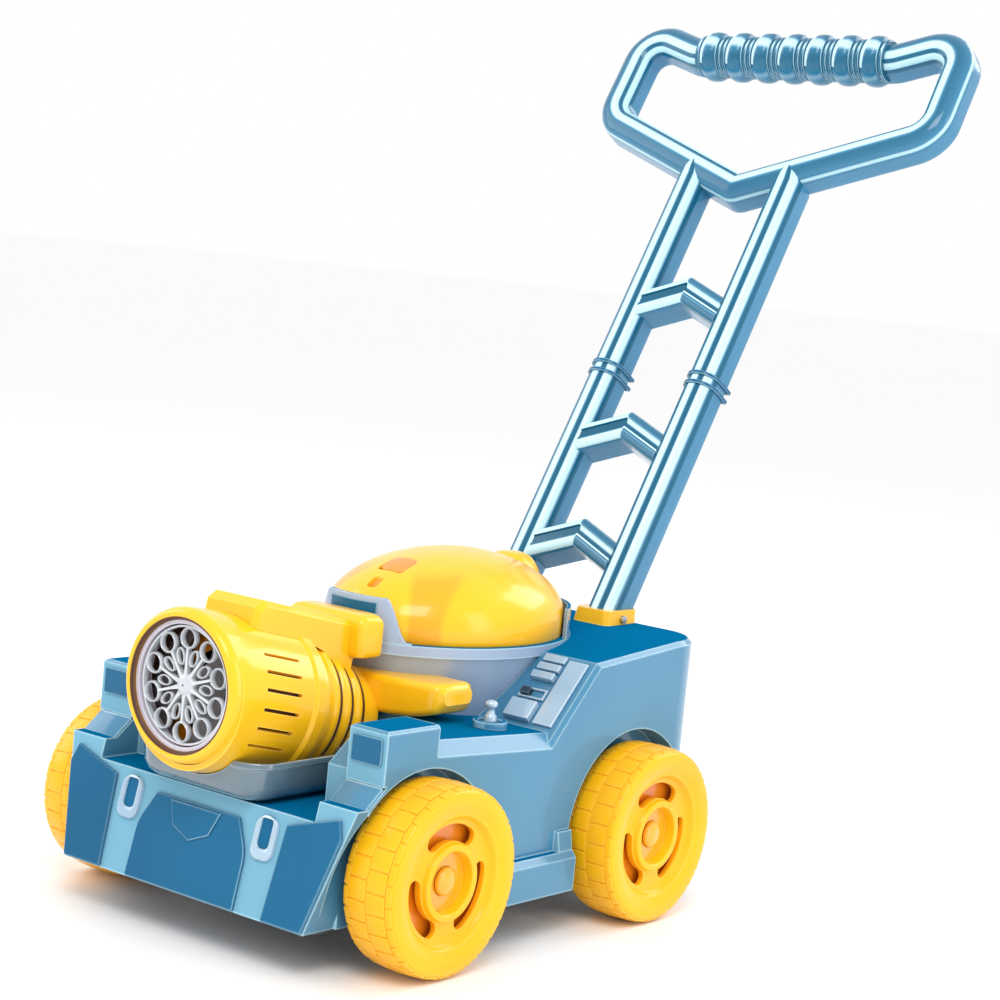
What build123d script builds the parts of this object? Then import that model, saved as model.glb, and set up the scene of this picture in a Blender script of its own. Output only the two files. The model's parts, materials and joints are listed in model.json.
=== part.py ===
from build123d import *
import math
import os

# Push-along bubble machine in the form of a lawn mower.
# Frame: +Z up, front of the toy towards -Y, symmetry plane X = 0, ground at Z = 0,
# origin on the ground below the middle of the whole object. Millimetres.

# ---------------------------------------------------------------- driving sizes
WHEEL_R = 50.0            # road wheel radius
WHEEL_OUT = 128.0         # outer face of each wheel, from the symmetry plane
WHEEL_IN = 94.6           # inner face of each wheel
FRONT_Y = -192.4          # front axle
REAR_Y = -9.0             # rear axle
AXLE_R = 3.0              # steel axle radius
RUN_GAP = 0.08            # radial clearance of a wheel on its axle

SIDE_X = 103.4            # outer side of the deck
DECK_Z = 24.0             # lower rim of the deck shell
WALL = 2.5                # moulded wall
BUMPER_Y = -258.4         # lowest edge of the bumper's bare face
PANEL = 2.0               # thickness of the panels on the bumper
BUMPER_TOP = 88.0         # height of the ledge above the bumper
BUMPER_HALF = 87.0        # half width of the bumper at its lower edge
BUMPER_LEAN = 0.2226      # how far the bumper leans back per unit of height
REAR_FACE = 60.0          # rear face of the deck
HUMP_Z = 147.5            # top of the rear hump at its front edge
ARCH_R = 57.0             # wheel arch radius
WELL_X = 89.0             # inner wall of a wheel well

HANDLE_LEAN = 30.2        # handle leans back from vertical, degrees
HANDLE_Y = 18.2           # a point on the handle's front plane
HANDLE_Z = 136.2
POLE_X = 36.7             # pole centre from the symmetry plane
POLE_W = 21.1             # pole width
POLE_D = 22.5             # pole depth behind its front plane
POLE_WALL = 2.2           # hollow handle wall
POLE_FOOT = 12.0          # lower end of the poles, measured along the handle
JOINT_T = 193.0           # where the upper handle plugs into the lower one
POLE_TOP = 350.0          # upper tips of the poles
HEAD_HALF = 10.6          # half width of a bar of the handle's head
HEAD_POINTS = [(0.0, 337.0), (120.5, 387.0), (118.0, 454.0), (76.0, 443.5)]

DRUM_Y = -271.6           # front face of the drum ring
DRUM_Z = 133.7            # centre of the drum ring
DRUM_TILT = 12.0          # barrel drops towards the rear, degrees
RING_R = 40.0             # outer radius of the drum ring
LIP_R = 33.5              # mouth radius
BARREL_R = 41.5           # barrel radius

POD_Y = -62.0             # middle of the engine pod
POD_Z = 151.0             # height of the pod's rim
POD_A = 62.0              # half width of the pod
POD_B = 84.0              # half length of the pod

os.makedirs("parts", exist_ok=True)

LEAN = math.radians(HANDLE_LEAN)
ALONG = Vector(0, math.sin(LEAN), math.cos(LEAN))      # up the handle
FACING = Vector(0, -math.cos(LEAN), math.sin(LEAN))    # out of its front plane
HANDLE_POINT = Vector(0, HANDLE_Y, HANDLE_Z)
SIDES = (("left", -1), ("right", 1))


def save(builder, name):
    """Label a finished piece and write it to its own file."""
    builder.part.label = name
    export_step(builder.part, "parts/" + name + ".step")


def across(x):
    """Plane square to the X axis, its sketch axes along Y and Z."""
    return Plane(origin=(x, 0, 0), x_dir=(0, 1, 0), z_dir=(1, 0, 0))


def handle_plane(depth=0.0):
    """Plane of the handle: sketch axes across and up the handle."""
    origin = HANDLE_POINT - FACING * depth
    return Plane(origin=origin, x_dir=(1, 0, 0), z_dir=FACING)


def pole_plane(t):
    """Plane square to the handle at distance t: sketch axes across and to the back."""
    return Plane(origin=HANDLE_POINT + ALONG * t, x_dir=(1, 0, 0), z_dir=ALONG)


def drum_plane(distance, drop=0.0):
    """Plane square to the barrel axis, its normal towards the rear."""
    tilt = math.radians(DRUM_TILT)
    back = Vector(0, math.cos(tilt), -math.sin(tilt))
    return Plane(origin=Vector(0, DRUM_Y, DRUM_Z - drop) + back * distance, x_dir=(1, 0, 0), z_dir=back)


def pole(side, start, end, inset):
    """A length of handle pole: half-round front, flat back."""
    half = POLE_W / 2
    with BuildPart() as length:
        with BuildSketch(pole_plane(start)):
            with Locations((side * POLE_X, half)):
                Circle(half - inset)
            with Locations((side * POLE_X, (half + POLE_D) / 2 - inset / 2)):
                Rectangle(2 * (half - inset), POLE_D - half - inset)
        extrude(amount=end - start)
    return length.part


def pod(inset):
    """The engine pod's flared oval body."""
    with BuildPart() as body:
        for height, a, b in ((104.0, 49.0, 65.0), (POD_Z - 6, POD_A, POD_B - 2)):
            with BuildSketch(Plane(origin=(0, POD_Y, height))):
                Ellipse(a - inset, b - inset)
        loft()
    return body.part


# ---------------------------------------------------------------- deck shell
DECK_OUTLINE = [
    (-236.0, DECK_Z), (-236.0, BUMPER_TOP), (-200.0, 117.5), (-85.0, 111.0),
    (-51.0, HUMP_Z), (28.0, 154.5), (REAR_FACE, 155.0), (REAR_FACE, DECK_Z),
]
INNER_OUTLINE = [
    (-233.5, DECK_Z - 5), (-233.5, BUMPER_TOP - 3), (-199.0, 114.5), (-84.5, 108.0),
    (-51.0, HUMP_Z - 3), (28.0, 151.5), (REAR_FACE - WALL, 152.0), (REAR_FACE - WALL, DECK_Z - 5),
]
BLOCK_Y = -226.3          # front face of the headlight blocks
BLOCK_BACK = -186.0
BLOCK_X = 90.7
BLOCK_W = 25.4
BLOCK_Z = 126.0
TROUGH_HALF = 60.0        # half width of the trough that holds the drum
TROUGH_END = -138.0       # rear end of the trough
NOSE_HALF = 77.9          # half width of the open nose between the blocks
NOSE_END = -220.0
TROUGH_Z = 77.8
BUTTON_AT = (78.0, -112.6)
STEM_R = 3.5
BOSSES = [(-44.0, -238.0), (44.0, -238.0), (-62.0, 30.0), (62.0, 30.0)]
BOSS_R = 4.0
SCREW_R = 1.5
BUSH_R = 5.0
LEAN_DEG = math.degrees(math.atan(BUMPER_LEAN))
BUMPER_FACE = Plane(
    origin=(0, BUMPER_Y, DECK_Z), x_dir=(1, 0, 0),
    z_dir=(0, -math.cos(math.radians(LEAN_DEG)), math.sin(math.radians(LEAN_DEG)))
)


def bumper_wedge(inset, depth_inset):
    """The bumper's trapezoid, narrower by inset and set back by depth_inset."""
    with BuildPart() as wedge:
        with BuildSketch(Plane(origin=(0, -232.0, 0), x_dir=(1, 0, 0), z_dir=(0, -1, 0))):
            with BuildLine():
                Polyline(
                    (-BUMPER_HALF + inset, DECK_Z - 2 * inset), (BUMPER_HALF - inset, DECK_Z - 2 * inset),
                    (SIDE_X - inset, BUMPER_TOP - inset), (-SIDE_X + inset, BUMPER_TOP - inset), close=True
                )
            make_face()
        extrude(amount=30.0)
        split(bisect_by=BUMPER_FACE.offset(-depth_inset), keep=Keep.BOTTOM)
    return wedge.part


def side_slab(outline, half_width, corner):
    """A side outline extruded across the toy, with rounded rear corners."""
    with BuildPart() as slab:
        with BuildSketch(Plane.YZ.offset(-half_width)):
            with BuildLine():
                Polyline(*outline, close=True)
            make_face()
        extrude(amount=2 * half_width)
        rear = slab.edges().filter_by(Axis.Z).group_by(Axis.Y)[-1]
        fillet(rear, radius=corner)
    return slab.part


def well(side, axle_y, rise, inner_x, grow):
    """The space of one wheel well, or its surrounding wall when grown."""
    with BuildPart() as space:
        with BuildSketch(across(side * inner_x)):
            with Locations((axle_y, WHEEL_R)):
                Ellipse(ARCH_R + grow, rise + grow)
            with Locations((axle_y, WHEEL_R - 60.0)):
                Rectangle(2 * (ARCH_R + grow), 120.0)
        extrude(amount=side * 40.0)
    return space.part


WELLS = [(side, y, rise) for side in (-1, 1) for y, rise in ((FRONT_Y, 54.0), (REAR_Y, ARCH_R))]

with BuildPart() as envelope:
    add(side_slab(DECK_OUTLINE, SIDE_X, 30.0))
    fender_edges = envelope.edges().filter_by(
        lambda e: abs(e.center().X) > SIDE_X - 1 and -190 < e.center().Y < -100 and e.center().Z > 105
    )
    chamfer(fender_edges, length=7.5)
    hump_edges = envelope.edges().filter_by(
        lambda e: abs(e.center().X) > SIDE_X - 1 and -72 < e.center().Y < 5 and e.center().Z > 115
    )
    chamfer(hump_edges, length=2.5)
    add(bumper_wedge(0, 0))
    with BuildSketch(Plane.XY.offset(98.0)):
        with Locations((-BLOCK_X, (BLOCK_Y + BLOCK_BACK) / 2), (BLOCK_X, (BLOCK_Y + BLOCK_BACK) / 2)):
            Rectangle(BLOCK_W, BLOCK_BACK - BLOCK_Y)
    extrude(amount=BLOCK_Z - 98.0)
    block_tops = envelope.faces().filter_by(Axis.Z).filter_by(lambda f: abs(f.center().Z - BLOCK_Z) < 0.1)
    chamfer(block_tops.edges().filter_by(lambda e: e.center().Y < BLOCK_BACK - 1), length=1.5)
    with BuildSketch(Plane.XY.offset(TROUGH_Z)):
        with Locations((0, (TROUGH_END - 262.0) / 2)):
            Rectangle(2 * TROUGH_HALF, TROUGH_END + 262.0)
        with Locations((0, (NOSE_END - 270.0) / 2)):
            Rectangle(2 * NOSE_HALF, NOSE_END + 270.0)
    extrude(amount=80.0, mode=Mode.SUBTRACT)

with BuildPart() as inside:
    add(side_slab(INNER_OUTLINE, SIDE_X - WALL, 27.5))
    add(bumper_wedge(3.0, WALL))
    with BuildSketch(Plane.XY.offset(90.0)):
        with Locations((-BLOCK_X, -206.0), (BLOCK_X, -206.0)):
            Rectangle(BLOCK_W - 2 * WALL, 35.0)
    extrude(amount=BLOCK_Z - 90.0 - WALL)
    with BuildSketch(Plane.XY.offset(TROUGH_Z - WALL)):
        with Locations((0, (TROUGH_END - 265.0) / 2)):
            Rectangle(2 * (TROUGH_HALF + WALL), TROUGH_END + 265.0 + 2 * WALL)
        with Locations((0, (NOSE_END - 273.0) / 2)):
            Rectangle(2 * (NOSE_HALF + WALL), NOSE_END + 273.0 + 2 * WALL)
    extrude(amount=80.0, mode=Mode.SUBTRACT)
    # keep the wall behind the chamfered fender edges
    for side in (-1, 1):
        with BuildSketch(Plane(origin=(0, -215.0, 0), x_dir=(1, 0, 0), z_dir=(0, 1, 0))):
            with BuildLine():
                Polyline((side * 103.4, -98.0), (side * 88.0, -118.0), (side * 103.4, -122.0), close=True)
            make_face()
        extrude(amount=145.0, mode=Mode.SUBTRACT)
    for side, axle_y, rise in WELLS:
        add(well(side, axle_y, rise, WELL_X - WALL, WALL), mode=Mode.SUBTRACT)
    with BuildSketch(Plane.XY.offset(DECK_Z - 10)):
        with Locations(*BOSSES):
            Circle(BOSS_R)
    extrude(amount=200.0, mode=Mode.SUBTRACT)

with BuildPart() as deck_shell:
    add(envelope.part)
    add(inside.part, mode=Mode.SUBTRACT)
    for side, axle_y, rise in WELLS:
        add(well(side, axle_y, rise, WELL_X, 0.0), mode=Mode.SUBTRACT)
    # running boards between the wheels, with a small gusset at the rear end
    for side in (-1, 1):
        with BuildSketch(Plane(origin=(0, -134.0, 0), x_dir=(1, 0, 0), z_dir=(0, 1, 0))):
            with BuildLine():
                Polyline(
                    (side * 102, -24.0), (side * 111, -24.0), (side * 111, -42.5), (side * 108, -46.0),
                    (side * 102, -46.0), close=True
                )
            make_face()
        extrude(amount=67.5)
        with BuildSketch(Plane(origin=(0, -78.5, 0), x_dir=(1, 0, 0), z_dir=(0, 1, 0))):
            with BuildLine():
                Polyline(
                    (side * 102, -45.0), (side * 108, -45.0), (side * 106, -57.0), (side * 102, -57.0), close=True
                )
            make_face()
        extrude(amount=12.0)
    for axle_y in (FRONT_Y, REAR_Y):
        with BuildSketch(across(-110)):
            with Locations((axle_y, WHEEL_R)):
                Circle(BUSH_R)
        extrude(amount=220.0, mode=Mode.SUBTRACT)
    with BuildSketch(Plane.XY.offset(DECK_Z)):
        with Locations(*BOSSES):
            Circle(SCREW_R)
    extrude(amount=20.0, mode=Mode.SUBTRACT)
    # seats for the pod and the poles, hole for the start button
    add(pod(0.0), mode=Mode.SUBTRACT)
    with BuildSketch(Plane(origin=(0, POD_Y, POD_Z - 6))):
        Ellipse(POD_A + 2, POD_B)
    extrude(amount=20.0, mode=Mode.SUBTRACT)
    for side in (-1, 1):
        add(pole(side, -10.0, 60.0, 0.0), mode=Mode.SUBTRACT)
    with BuildSketch(Plane.XY.offset(100.0)):
        with Locations(BUTTON_AT):
            Circle(STEM_R + RUN_GAP)
    extrude(amount=20.0, mode=Mode.SUBTRACT)
    # shallow grooves across the plain rear face
    for i in range(4):
        with Locations((0, REAR_FACE, 92.0 + 8.0 * i)):
            Box(90.0, 1.6, 2.4, mode=Mode.SUBTRACT)
save(deck_shell, "deck_shell")

# ---------------------------------------------------------------- chassis and battery bay
FLOOR_T = 2.5
BAY = (76.0, 64.0)        # battery door opening, across and along
BAY_Y = -100.0
CELL_R = 7.1
CELL_LEN = 48.0

with BuildPart() as chassis_floor:
    with BuildSketch(Plane.XY.offset(DECK_Z - FLOOR_T)):
        with Locations((0, (REAR_FACE - 254.0) / 2)):
            RectangleRounded(2 * 83.5, REAR_FACE + 254.0 - 4.0, 12.0)
        with Locations((0, -100.0)):
            Rectangle(2 * 100.0, 56.0)
    extrude(amount=FLOOR_T)
    with Locations((0, BAY_Y, DECK_Z - FLOOR_T / 2)):
        Box(BAY[0], BAY[1], FLOOR_T + 1, mode=Mode.SUBTRACT)
    with BuildSketch(Plane.XY.offset(DECK_Z - FLOOR_T)):
        with Locations(*BOSSES):
            Circle(SCREW_R + 0.2)
    extrude(amount=FLOOR_T, mode=Mode.SUBTRACT)
    # saddles that carry the two axles
    for axle_y in (FRONT_Y, REAR_Y):
        for x in (-50.0, 50.0):
            with BuildSketch(across(x - 3.0)):
                with Locations((axle_y, (DECK_Z + WHEEL_R) / 2)):
                    Rectangle(14.0, WHEEL_R - DECK_Z)
                with Locations((axle_y, WHEEL_R)):
                    Circle(AXLE_R, mode=Mode.SUBTRACT)
            extrude(amount=6.0)
    # walls of the battery bay
    with BuildSketch(Plane.XY.offset(DECK_Z)):
        with Locations((0, BAY_Y)):
            Rectangle(BAY[0] + 4.0, BAY[1] + 4.0)
            Rectangle(BAY[0], BAY[1], mode=Mode.SUBTRACT)
    extrude(amount=20.0)
    with BuildSketch(Plane.XY.offset(DECK_Z + 20.0)):
        with Locations((0, BAY_Y)):
            Rectangle(BAY[0] + 4.0, BAY[1] + 4.0)
    extrude(amount=2.0)
save(chassis_floor, "chassis_floor")

with BuildPart() as battery_door:
    with Locations((0, BAY_Y, DECK_Z - FLOOR_T / 2)):
        Box(BAY[0] - 0.6, BAY[1] - 0.6, FLOOR_T)
    with Locations((0, BAY_Y + 27.0, DECK_Z - FLOOR_T / 2)):
        Cylinder(SCREW_R, FLOOR_T, mode=Mode.SUBTRACT)
    for i in range(5):
        with Locations((0, BAY_Y - 16.0 + 6.0 * i, DECK_Z - FLOOR_T)):
            Box(40.0, 1.5, 1.2, mode=Mode.SUBTRACT)
save(battery_door, "battery_door")

with BuildPart() as batteries:
    for i in range(4):
        cell_y = BAY_Y + (i - 1.5) * 15.0
        with BuildSketch(across(-CELL_LEN / 2)):
            with Locations((cell_y, DECK_Z + 9.0)):
                Circle(CELL_R)
        extrude(amount=CELL_LEN)
        nub = 1 if i % 2 else -1
        with BuildSketch(across(nub * CELL_LEN / 2)):
            with Locations((cell_y, DECK_Z + 9.0)):
                Circle(2.6)
        extrude(amount=nub * 1.5)
save(batteries, "batteries")

with BuildPart() as battery_contacts:
    for i in range(4):
        cell_y = BAY_Y + (i - 1.5) * 15.0
        for side in (-1, 1):
            with Locations((side * (CELL_LEN / 2 + 2.2), cell_y, DECK_Z + 9.0)):
                Box(0.8, 9.0, 9.0)
save(battery_contacts, "battery_contacts")

with BuildPart() as case_screws:
    with BuildSketch(Plane.XY.offset(DECK_Z - FLOOR_T)):
        with Locations(*BOSSES):
            Circle(SCREW_R)
    extrude(amount=FLOOR_T + 14.0)
    with BuildSketch(Plane.XY.offset(DECK_Z - FLOOR_T)):
        with Locations(*BOSSES):
            Circle(3.0)
    extrude(amount=-1.6)
    # the screw of the battery door
    with BuildSketch(Plane.XY.offset(DECK_Z - FLOOR_T)):
        with Locations((0, BAY_Y + 27.0)):
            Circle(SCREW_R)
    extrude(amount=FLOOR_T + 1.5)
    with BuildSketch(Plane.XY.offset(DECK_Z - FLOOR_T)):
        with Locations((0, BAY_Y + 27.0)):
            Circle(2.8)
    extrude(amount=-1.4)
save(case_screws, "case_screws")

# ---------------------------------------------------------------- bumper trim
with BuildPart() as bumper_panel:
    with BuildSketch(BUMPER_FACE):
        with BuildLine():
            FilletPolyline(
                (-30.0, 47.0), (-39.0, 30.0), (-39.5, 0.5), (39.5, 0.5), (39.0, 30.0), (30.0, 47.0),
                radius=[22.0, 1.0, 1.0, 22.0]
            )
            Line((-30.0, 47.0), (30.0, 47.0))
        make_face()
    extrude(amount=PANEL)
save(bumper_panel, "bumper_panel")

with BuildPart() as bumper_cheeks:
    with BuildSketch(BUMPER_FACE):
        for side in (-1, 1):
            with BuildLine():
                Polyline(
                    (side * 59.0, 0.5), (side * 86.5, 0.5), (side * 98.5, 50.0), (side * 95.0, 60.0),
                    (side * 62.0, 50.0), close=True
                )
            make_face()
    extrude(amount=PANEL)
save(bumper_cheeks, "bumper_cheeks")

with BuildPart() as bumper_clips:
    with BuildSketch(BUMPER_FACE):
        with Locations((-49.0, 40.0), (49.0, 40.0)):
            RectangleRounded(15.0, 22.0, 5.0)
        with Locations((-49.0, 43.0), (49.0, 43.0)):
            RectangleRounded(8.0, 16.5, 3.0, mode=Mode.SUBTRACT)
    extrude(amount=PANEL)
save(bumper_clips, "bumper_clips")

with BuildPart() as badge_plate:
    with BuildSketch(BUMPER_FACE.offset(PANEL)):
        with BuildLine():
            Polyline((-18.0, 45.5), (18.0, 45.5), (13.0, 33.0), (0.0, 27.5), (-13.0, 33.0), close=True)
        make_face()
    extrude(amount=1.0)
save(badge_plate, "badge_plate")

with BuildPart() as headlight_panels:
    for side in (-1, 1):
        with BuildSketch(Plane(origin=(side * BLOCK_X, BLOCK_Y, 115.0), x_dir=(1, 0, 0), z_dir=(0, -1, 0))):
            RectangleRounded(20.0, 14.0, 1.5)
        extrude(amount=1.2)
save(headlight_panels, "headlight_panels")

# ---------------------------------------------------------------- axles, bushes and wheels
with BuildPart() as axle_bushes:
    for side in (-1, 1):
        for axle_y in (FRONT_Y, REAR_Y):
            with BuildSketch(across(side * (WELL_X - WALL))):
                with Locations((axle_y, WHEEL_R)):
                    Circle(BUSH_R)
                    Circle(AXLE_R, mode=Mode.SUBTRACT)
            extrude(amount=side * WALL)
            with BuildSketch(across(side * WELL_X)):
                with Locations((axle_y, WHEEL_R)):
                    Circle(7.0)
                    Circle(AXLE_R, mode=Mode.SUBTRACT)
            extrude(amount=side * 5.5)
save(axle_bushes, "axle_bushes")

with BuildPart() as axles:
    with BuildSketch(across(-123.0)):
        with Locations((FRONT_Y, WHEEL_R), (REAR_Y, WHEEL_R)):
            Circle(AXLE_R)
    extrude(amount=246.0)
    chamfer(axles.edges().filter_by(GeomType.CIRCLE), length=0.6)
save(axles, "axles")

with BuildPart() as axle_caps:
    for side in (-1, 1):
        for axle_y in (FRONT_Y, REAR_Y):
            with BuildSketch(across(side * 119.4)):
                with Locations((axle_y, WHEEL_R)):
                    Circle(7.5)
                    Circle(AXLE_R, mode=Mode.SUBTRACT)
            extrude(amount=side * 3.0)
            with BuildSketch(across(side * 123.0)):
                with Locations((axle_y, WHEEL_R)):
                    Circle(5.5)
            extrude(amount=side * 1.2)
            with BuildSketch(across(side * 122.4)):
                with Locations((axle_y, WHEEL_R)):
                    Circle(6.8)
                    Circle(AXLE_R, mode=Mode.SUBTRACT)
            extrude(amount=side * 0.6)
save(axle_caps, "axle_caps")

BORE_R = AXLE_R + RUN_GAP
WHEEL_PROFILE = [
    (94.6, 45.5), (94.6, 47.8), (97.0, WHEEL_R), (125.6, WHEEL_R), (128.0, 47.8), (128.0, 43.0), (127.6, 38.5),
    (126.2, 36.0), (123.6, 33.8), (122.2, 31.0), (122.2, 21.0), (125.6, 19.8), (125.6, 16.6), (119.0, 15.2),
    (119.0, BORE_R), (96.0, BORE_R), (96.0, 8.0), (115.8, 8.0), (115.8, 17.0), (119.0, 22.0), (119.0, 31.5),
    (121.5, 38.0), (123.0, 45.5),
]
SLOT_R = 25.5             # middle radius of the three curved slots
SLOT_W = 9.0
SLOT_HALF = 33.0          # half the angle that a slot covers


def slot_point(radius, angle):
    """A point on the wheel's face, in its own sketch."""
    return (radius * math.cos(math.radians(angle)), radius * math.sin(math.radians(angle)))


for end_name, axle_y in (("front", FRONT_Y), ("rear", REAR_Y)):
    for side_name, side in SIDES:
        with BuildPart() as wheel:
            with BuildSketch(Plane(origin=(0, axle_y, WHEEL_R), x_dir=(1, 0, 0), z_dir=(0, -1, 0))):
                with BuildLine():
                    Polyline(*[(side * x, r) for x, r in WHEEL_PROFILE], close=True)
                make_face()
            revolve(axis=Axis((0, axle_y, WHEEL_R), (1, 0, 0)))
            with BuildSketch(Plane(origin=(side * 112.0, axle_y, WHEEL_R), x_dir=(0, 1, 0), z_dir=(1, 0, 0))):
                for middle in (90.0, 213.0, 333.0):
                    with BuildLine():
                        slot_arc = ThreePointArc(
                            slot_point(SLOT_R, middle - SLOT_HALF), slot_point(SLOT_R, middle),
                            slot_point(SLOT_R, middle + SLOT_HALF)
                        )
                    SlotArc(slot_arc, SLOT_W)
            extrude(amount=side * 12.0, mode=Mode.SUBTRACT)
        save(wheel, end_name + "_" + side_name + "_wheel")

# ---------------------------------------------------------------- bubble drum
RING_T = 5.0
RING_BACK = DRUM_Y + RING_T
INNER_R = 38.5
DRUM_AXIS = Axis(drum_plane(0).origin, drum_plane(0).z_dir)
PROFILE_PLANE = Plane(origin=drum_plane(0).origin, x_dir=drum_plane(0).z_dir, z_dir=(1, 0, 0))
SLOT_ANGLES = (-30.0, -16.0, -2.0, 12.0, 25.0, 38.0)

SLOT_CUTTERS = [
    PROFILE_PLANE.location * Rot(turn - 90.0, 0, 0) * Pos(35.0, BARREL_R, 0) * Box(27.0, 10.0, 1.8)
    for angle in SLOT_ANGLES for turn in (angle, 180.0 - angle)
]

with BuildPart() as drum_housing:
    with BuildSketch(PROFILE_PLANE):
        with BuildLine():
            Polyline(
                (-6.0, 40.0), (10.0, BARREL_R), (58.0, BARREL_R), (60.0, 43.0), (66.0, 43.0), (67.5, 40.0),
                (71.0, 40.0), (71.6, 38.0), (73.0, 38.0), (73.6, 38.5), (80.0, 37.2), (80.6, 35.4), (82.0, 35.2),
                (82.6, 35.6), (88.0, 33.6), (88.6, 31.8), (90.0, 31.6), (90.6, 32.0), (98.0, 28.5), (112.0, 28.0),
                (112.0, 25.5), (98.0, 25.5), (88.0, 29.0), (66.0, INNER_R), (-6.0, INNER_R), close=True
            )
        make_face()
    revolve(axis=DRUM_AXIS)
    split(bisect_by=Plane(origin=(0, RING_BACK, 0), x_dir=(1, 0, 0), z_dir=(0, 1, 0)), keep=Keep.TOP)
    add(SLOT_CUTTERS, mode=Mode.SUBTRACT)
save(drum_housing, "drum_housing")

with BuildPart() as drum_ring:
    with BuildSketch(Plane(origin=(0, DRUM_Y, DRUM_Z), x_dir=(0, 1, 0), z_dir=(1, 0, 0))):
        with BuildLine():
            Polyline(
                (0.0, 35.2), (0.0, 37.6), (1.6, 39.4), (RING_T, RING_R), (RING_T, LIP_R), (2.4, LIP_R), close=True
            )
        make_face()
    revolve(axis=Axis((0, DRUM_Y, DRUM_Z), (0, 1, 0)))
save(drum_ring, "drum_ring")

GUARD_R = 31.4
with BuildPart() as wand_guard:
    with BuildSketch(Plane(origin=(0, DRUM_Y + 3.0, DRUM_Z), x_dir=(1, 0, 0), z_dir=(0, 1, 0))):
        Circle(LIP_R)
        Circle(GUARD_R, mode=Mode.SUBTRACT)
    extrude(amount=9.0)
save(wand_guard, "wand_guard")

SHAFT_R = 2.0
BAFFLE_L = 21.0
with BuildPart() as air_baffle:
    with BuildSketch(drum_plane(BAFFLE_L)):
        Circle(INNER_R - 0.3)
        with PolarLocations(22.0, 3):
            Circle(9.0, mode=Mode.SUBTRACT)
    extrude(amount=2.0)
    with BuildSketch(Plane(origin=(0, DRUM_Y + 8.0, DRUM_Z), x_dir=(1, 0, 0), z_dir=(0, 1, 0))):
        Circle(SHAFT_R + RUN_GAP)
    extrude(amount=40.0, mode=Mode.SUBTRACT)
save(air_baffle, "air_baffle")

# the bubble wheel: hub, ten spokes, ten outer loops and ten inner loops
WAND_Y = DRUM_Y + 4.0
WAND_T = 4.0
WAND_R = 30.6
LOOP_R = 5.6
with BuildPart() as bubble_wheel:
    with BuildSketch(Plane(origin=(0, WAND_Y, DRUM_Z), x_dir=(1, 0, 0), z_dir=(0, 1, 0))):
        Circle(6.0)
        Circle(WAND_R)
        Circle(WAND_R - 1.4, mode=Mode.SUBTRACT)
        Circle(6.0)
        with PolarLocations(12.0, 10):
            Rectangle(14.0, 1.4)
        with PolarLocations(WAND_R - LOOP_R - 0.6, 10):
            Circle(LOOP_R)
        with PolarLocations(WAND_R - LOOP_R - 0.6, 10):
            Circle(LOOP_R - 1.2, mode=Mode.SUBTRACT)
    extrude(amount=WAND_T)
    with BuildSketch(Plane(origin=(0, WAND_Y + WAND_T, DRUM_Z), x_dir=(1, 0, 0), z_dir=(0, 1, 0))):
        Circle(SHAFT_R)
    extrude(amount=26.0)
save(bubble_wheel, "bubble_wheel")

# gear train behind the baffle: a spur gear on the wheel's shaft and a pinion on the motor
MODULE = 1.0
GEAR_TEETH = 20
PINION_TEETH = 8
GEAR_Y = DRUM_Y + 30.0
GEAR_T = 4.0
CENTRES = MODULE * (GEAR_TEETH + PINION_TEETH) / 2 + 0.35


def spur_gear(teeth, centre_z, phase, bore, shaft):
    """A small spur gear with straight-sided teeth, and a shaft behind it if one is given."""
    pitch_r = MODULE * teeth / 2
    tooth = 360.0 / teeth
    with BuildPart() as gear:
        with BuildSketch(Plane(origin=(0, GEAR_Y, centre_z), x_dir=(1, 0, 0), z_dir=(0, -1, 0))):
            Circle(pitch_r - 1.1 * MODULE)
            for i in range(teeth):
                middle = phase + tooth * i
                with BuildLine():
                    Polyline(
                        slot_point(pitch_r - 1.3 * MODULE, middle - 0.24 * tooth),
                        slot_point(pitch_r, middle - 0.19 * tooth),
                        slot_point(pitch_r + 0.8 * MODULE, middle - 0.09 * tooth),
                        slot_point(pitch_r + 0.8 * MODULE, middle + 0.09 * tooth),
                        slot_point(pitch_r, middle + 0.19 * tooth),
                        slot_point(pitch_r - 1.3 * MODULE, middle + 0.24 * tooth), close=True
                    )
                make_face()
            if bore:
                Circle(bore, mode=Mode.SUBTRACT)
        extrude(amount=-GEAR_T)
        if shaft:
            with BuildSketch(Plane(origin=(0, GEAR_Y, centre_z), x_dir=(1, 0, 0), z_dir=(0, 1, 0))):
                Circle(shaft)
            extrude(amount=12.0)
    return gear


wand_gear = spur_gear(GEAR_TEETH, DRUM_Z, -90.0, SHAFT_R, 0.0)
save(wand_gear, "wand_gear")
motor_pinion = spur_gear(PINION_TEETH, DRUM_Z - CENTRES, 90.0 + 180.0 / PINION_TEETH, 0.0, 1.0)
save(motor_pinion, "motor_pinion")

MOTOR_Z = DRUM_Z - CENTRES
with BuildPart() as wand_motor:
    with BuildSketch(Plane(origin=(0, GEAR_Y + GEAR_T + 1.0, MOTOR_Z), x_dir=(1, 0, 0), z_dir=(0, 1, 0))):
        Rectangle(20.0, 15.0)
        Circle(1.0 + RUN_GAP, mode=Mode.SUBTRACT)
    extrude(amount=19.0)
save(wand_motor, "wand_motor")


with BuildPart() as motor_bracket:
    with BuildSketch(drum_plane(58.0)):
        Circle(INNER_R - 0.3)
        Circle(29.0, mode=Mode.SUBTRACT)
        Rectangle(8.0, 74.0)
        Circle(12.0)
        Circle(2.0, mode=Mode.SUBTRACT)
    extrude(amount=2.0)
save(motor_bracket, "motor_bracket")

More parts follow.
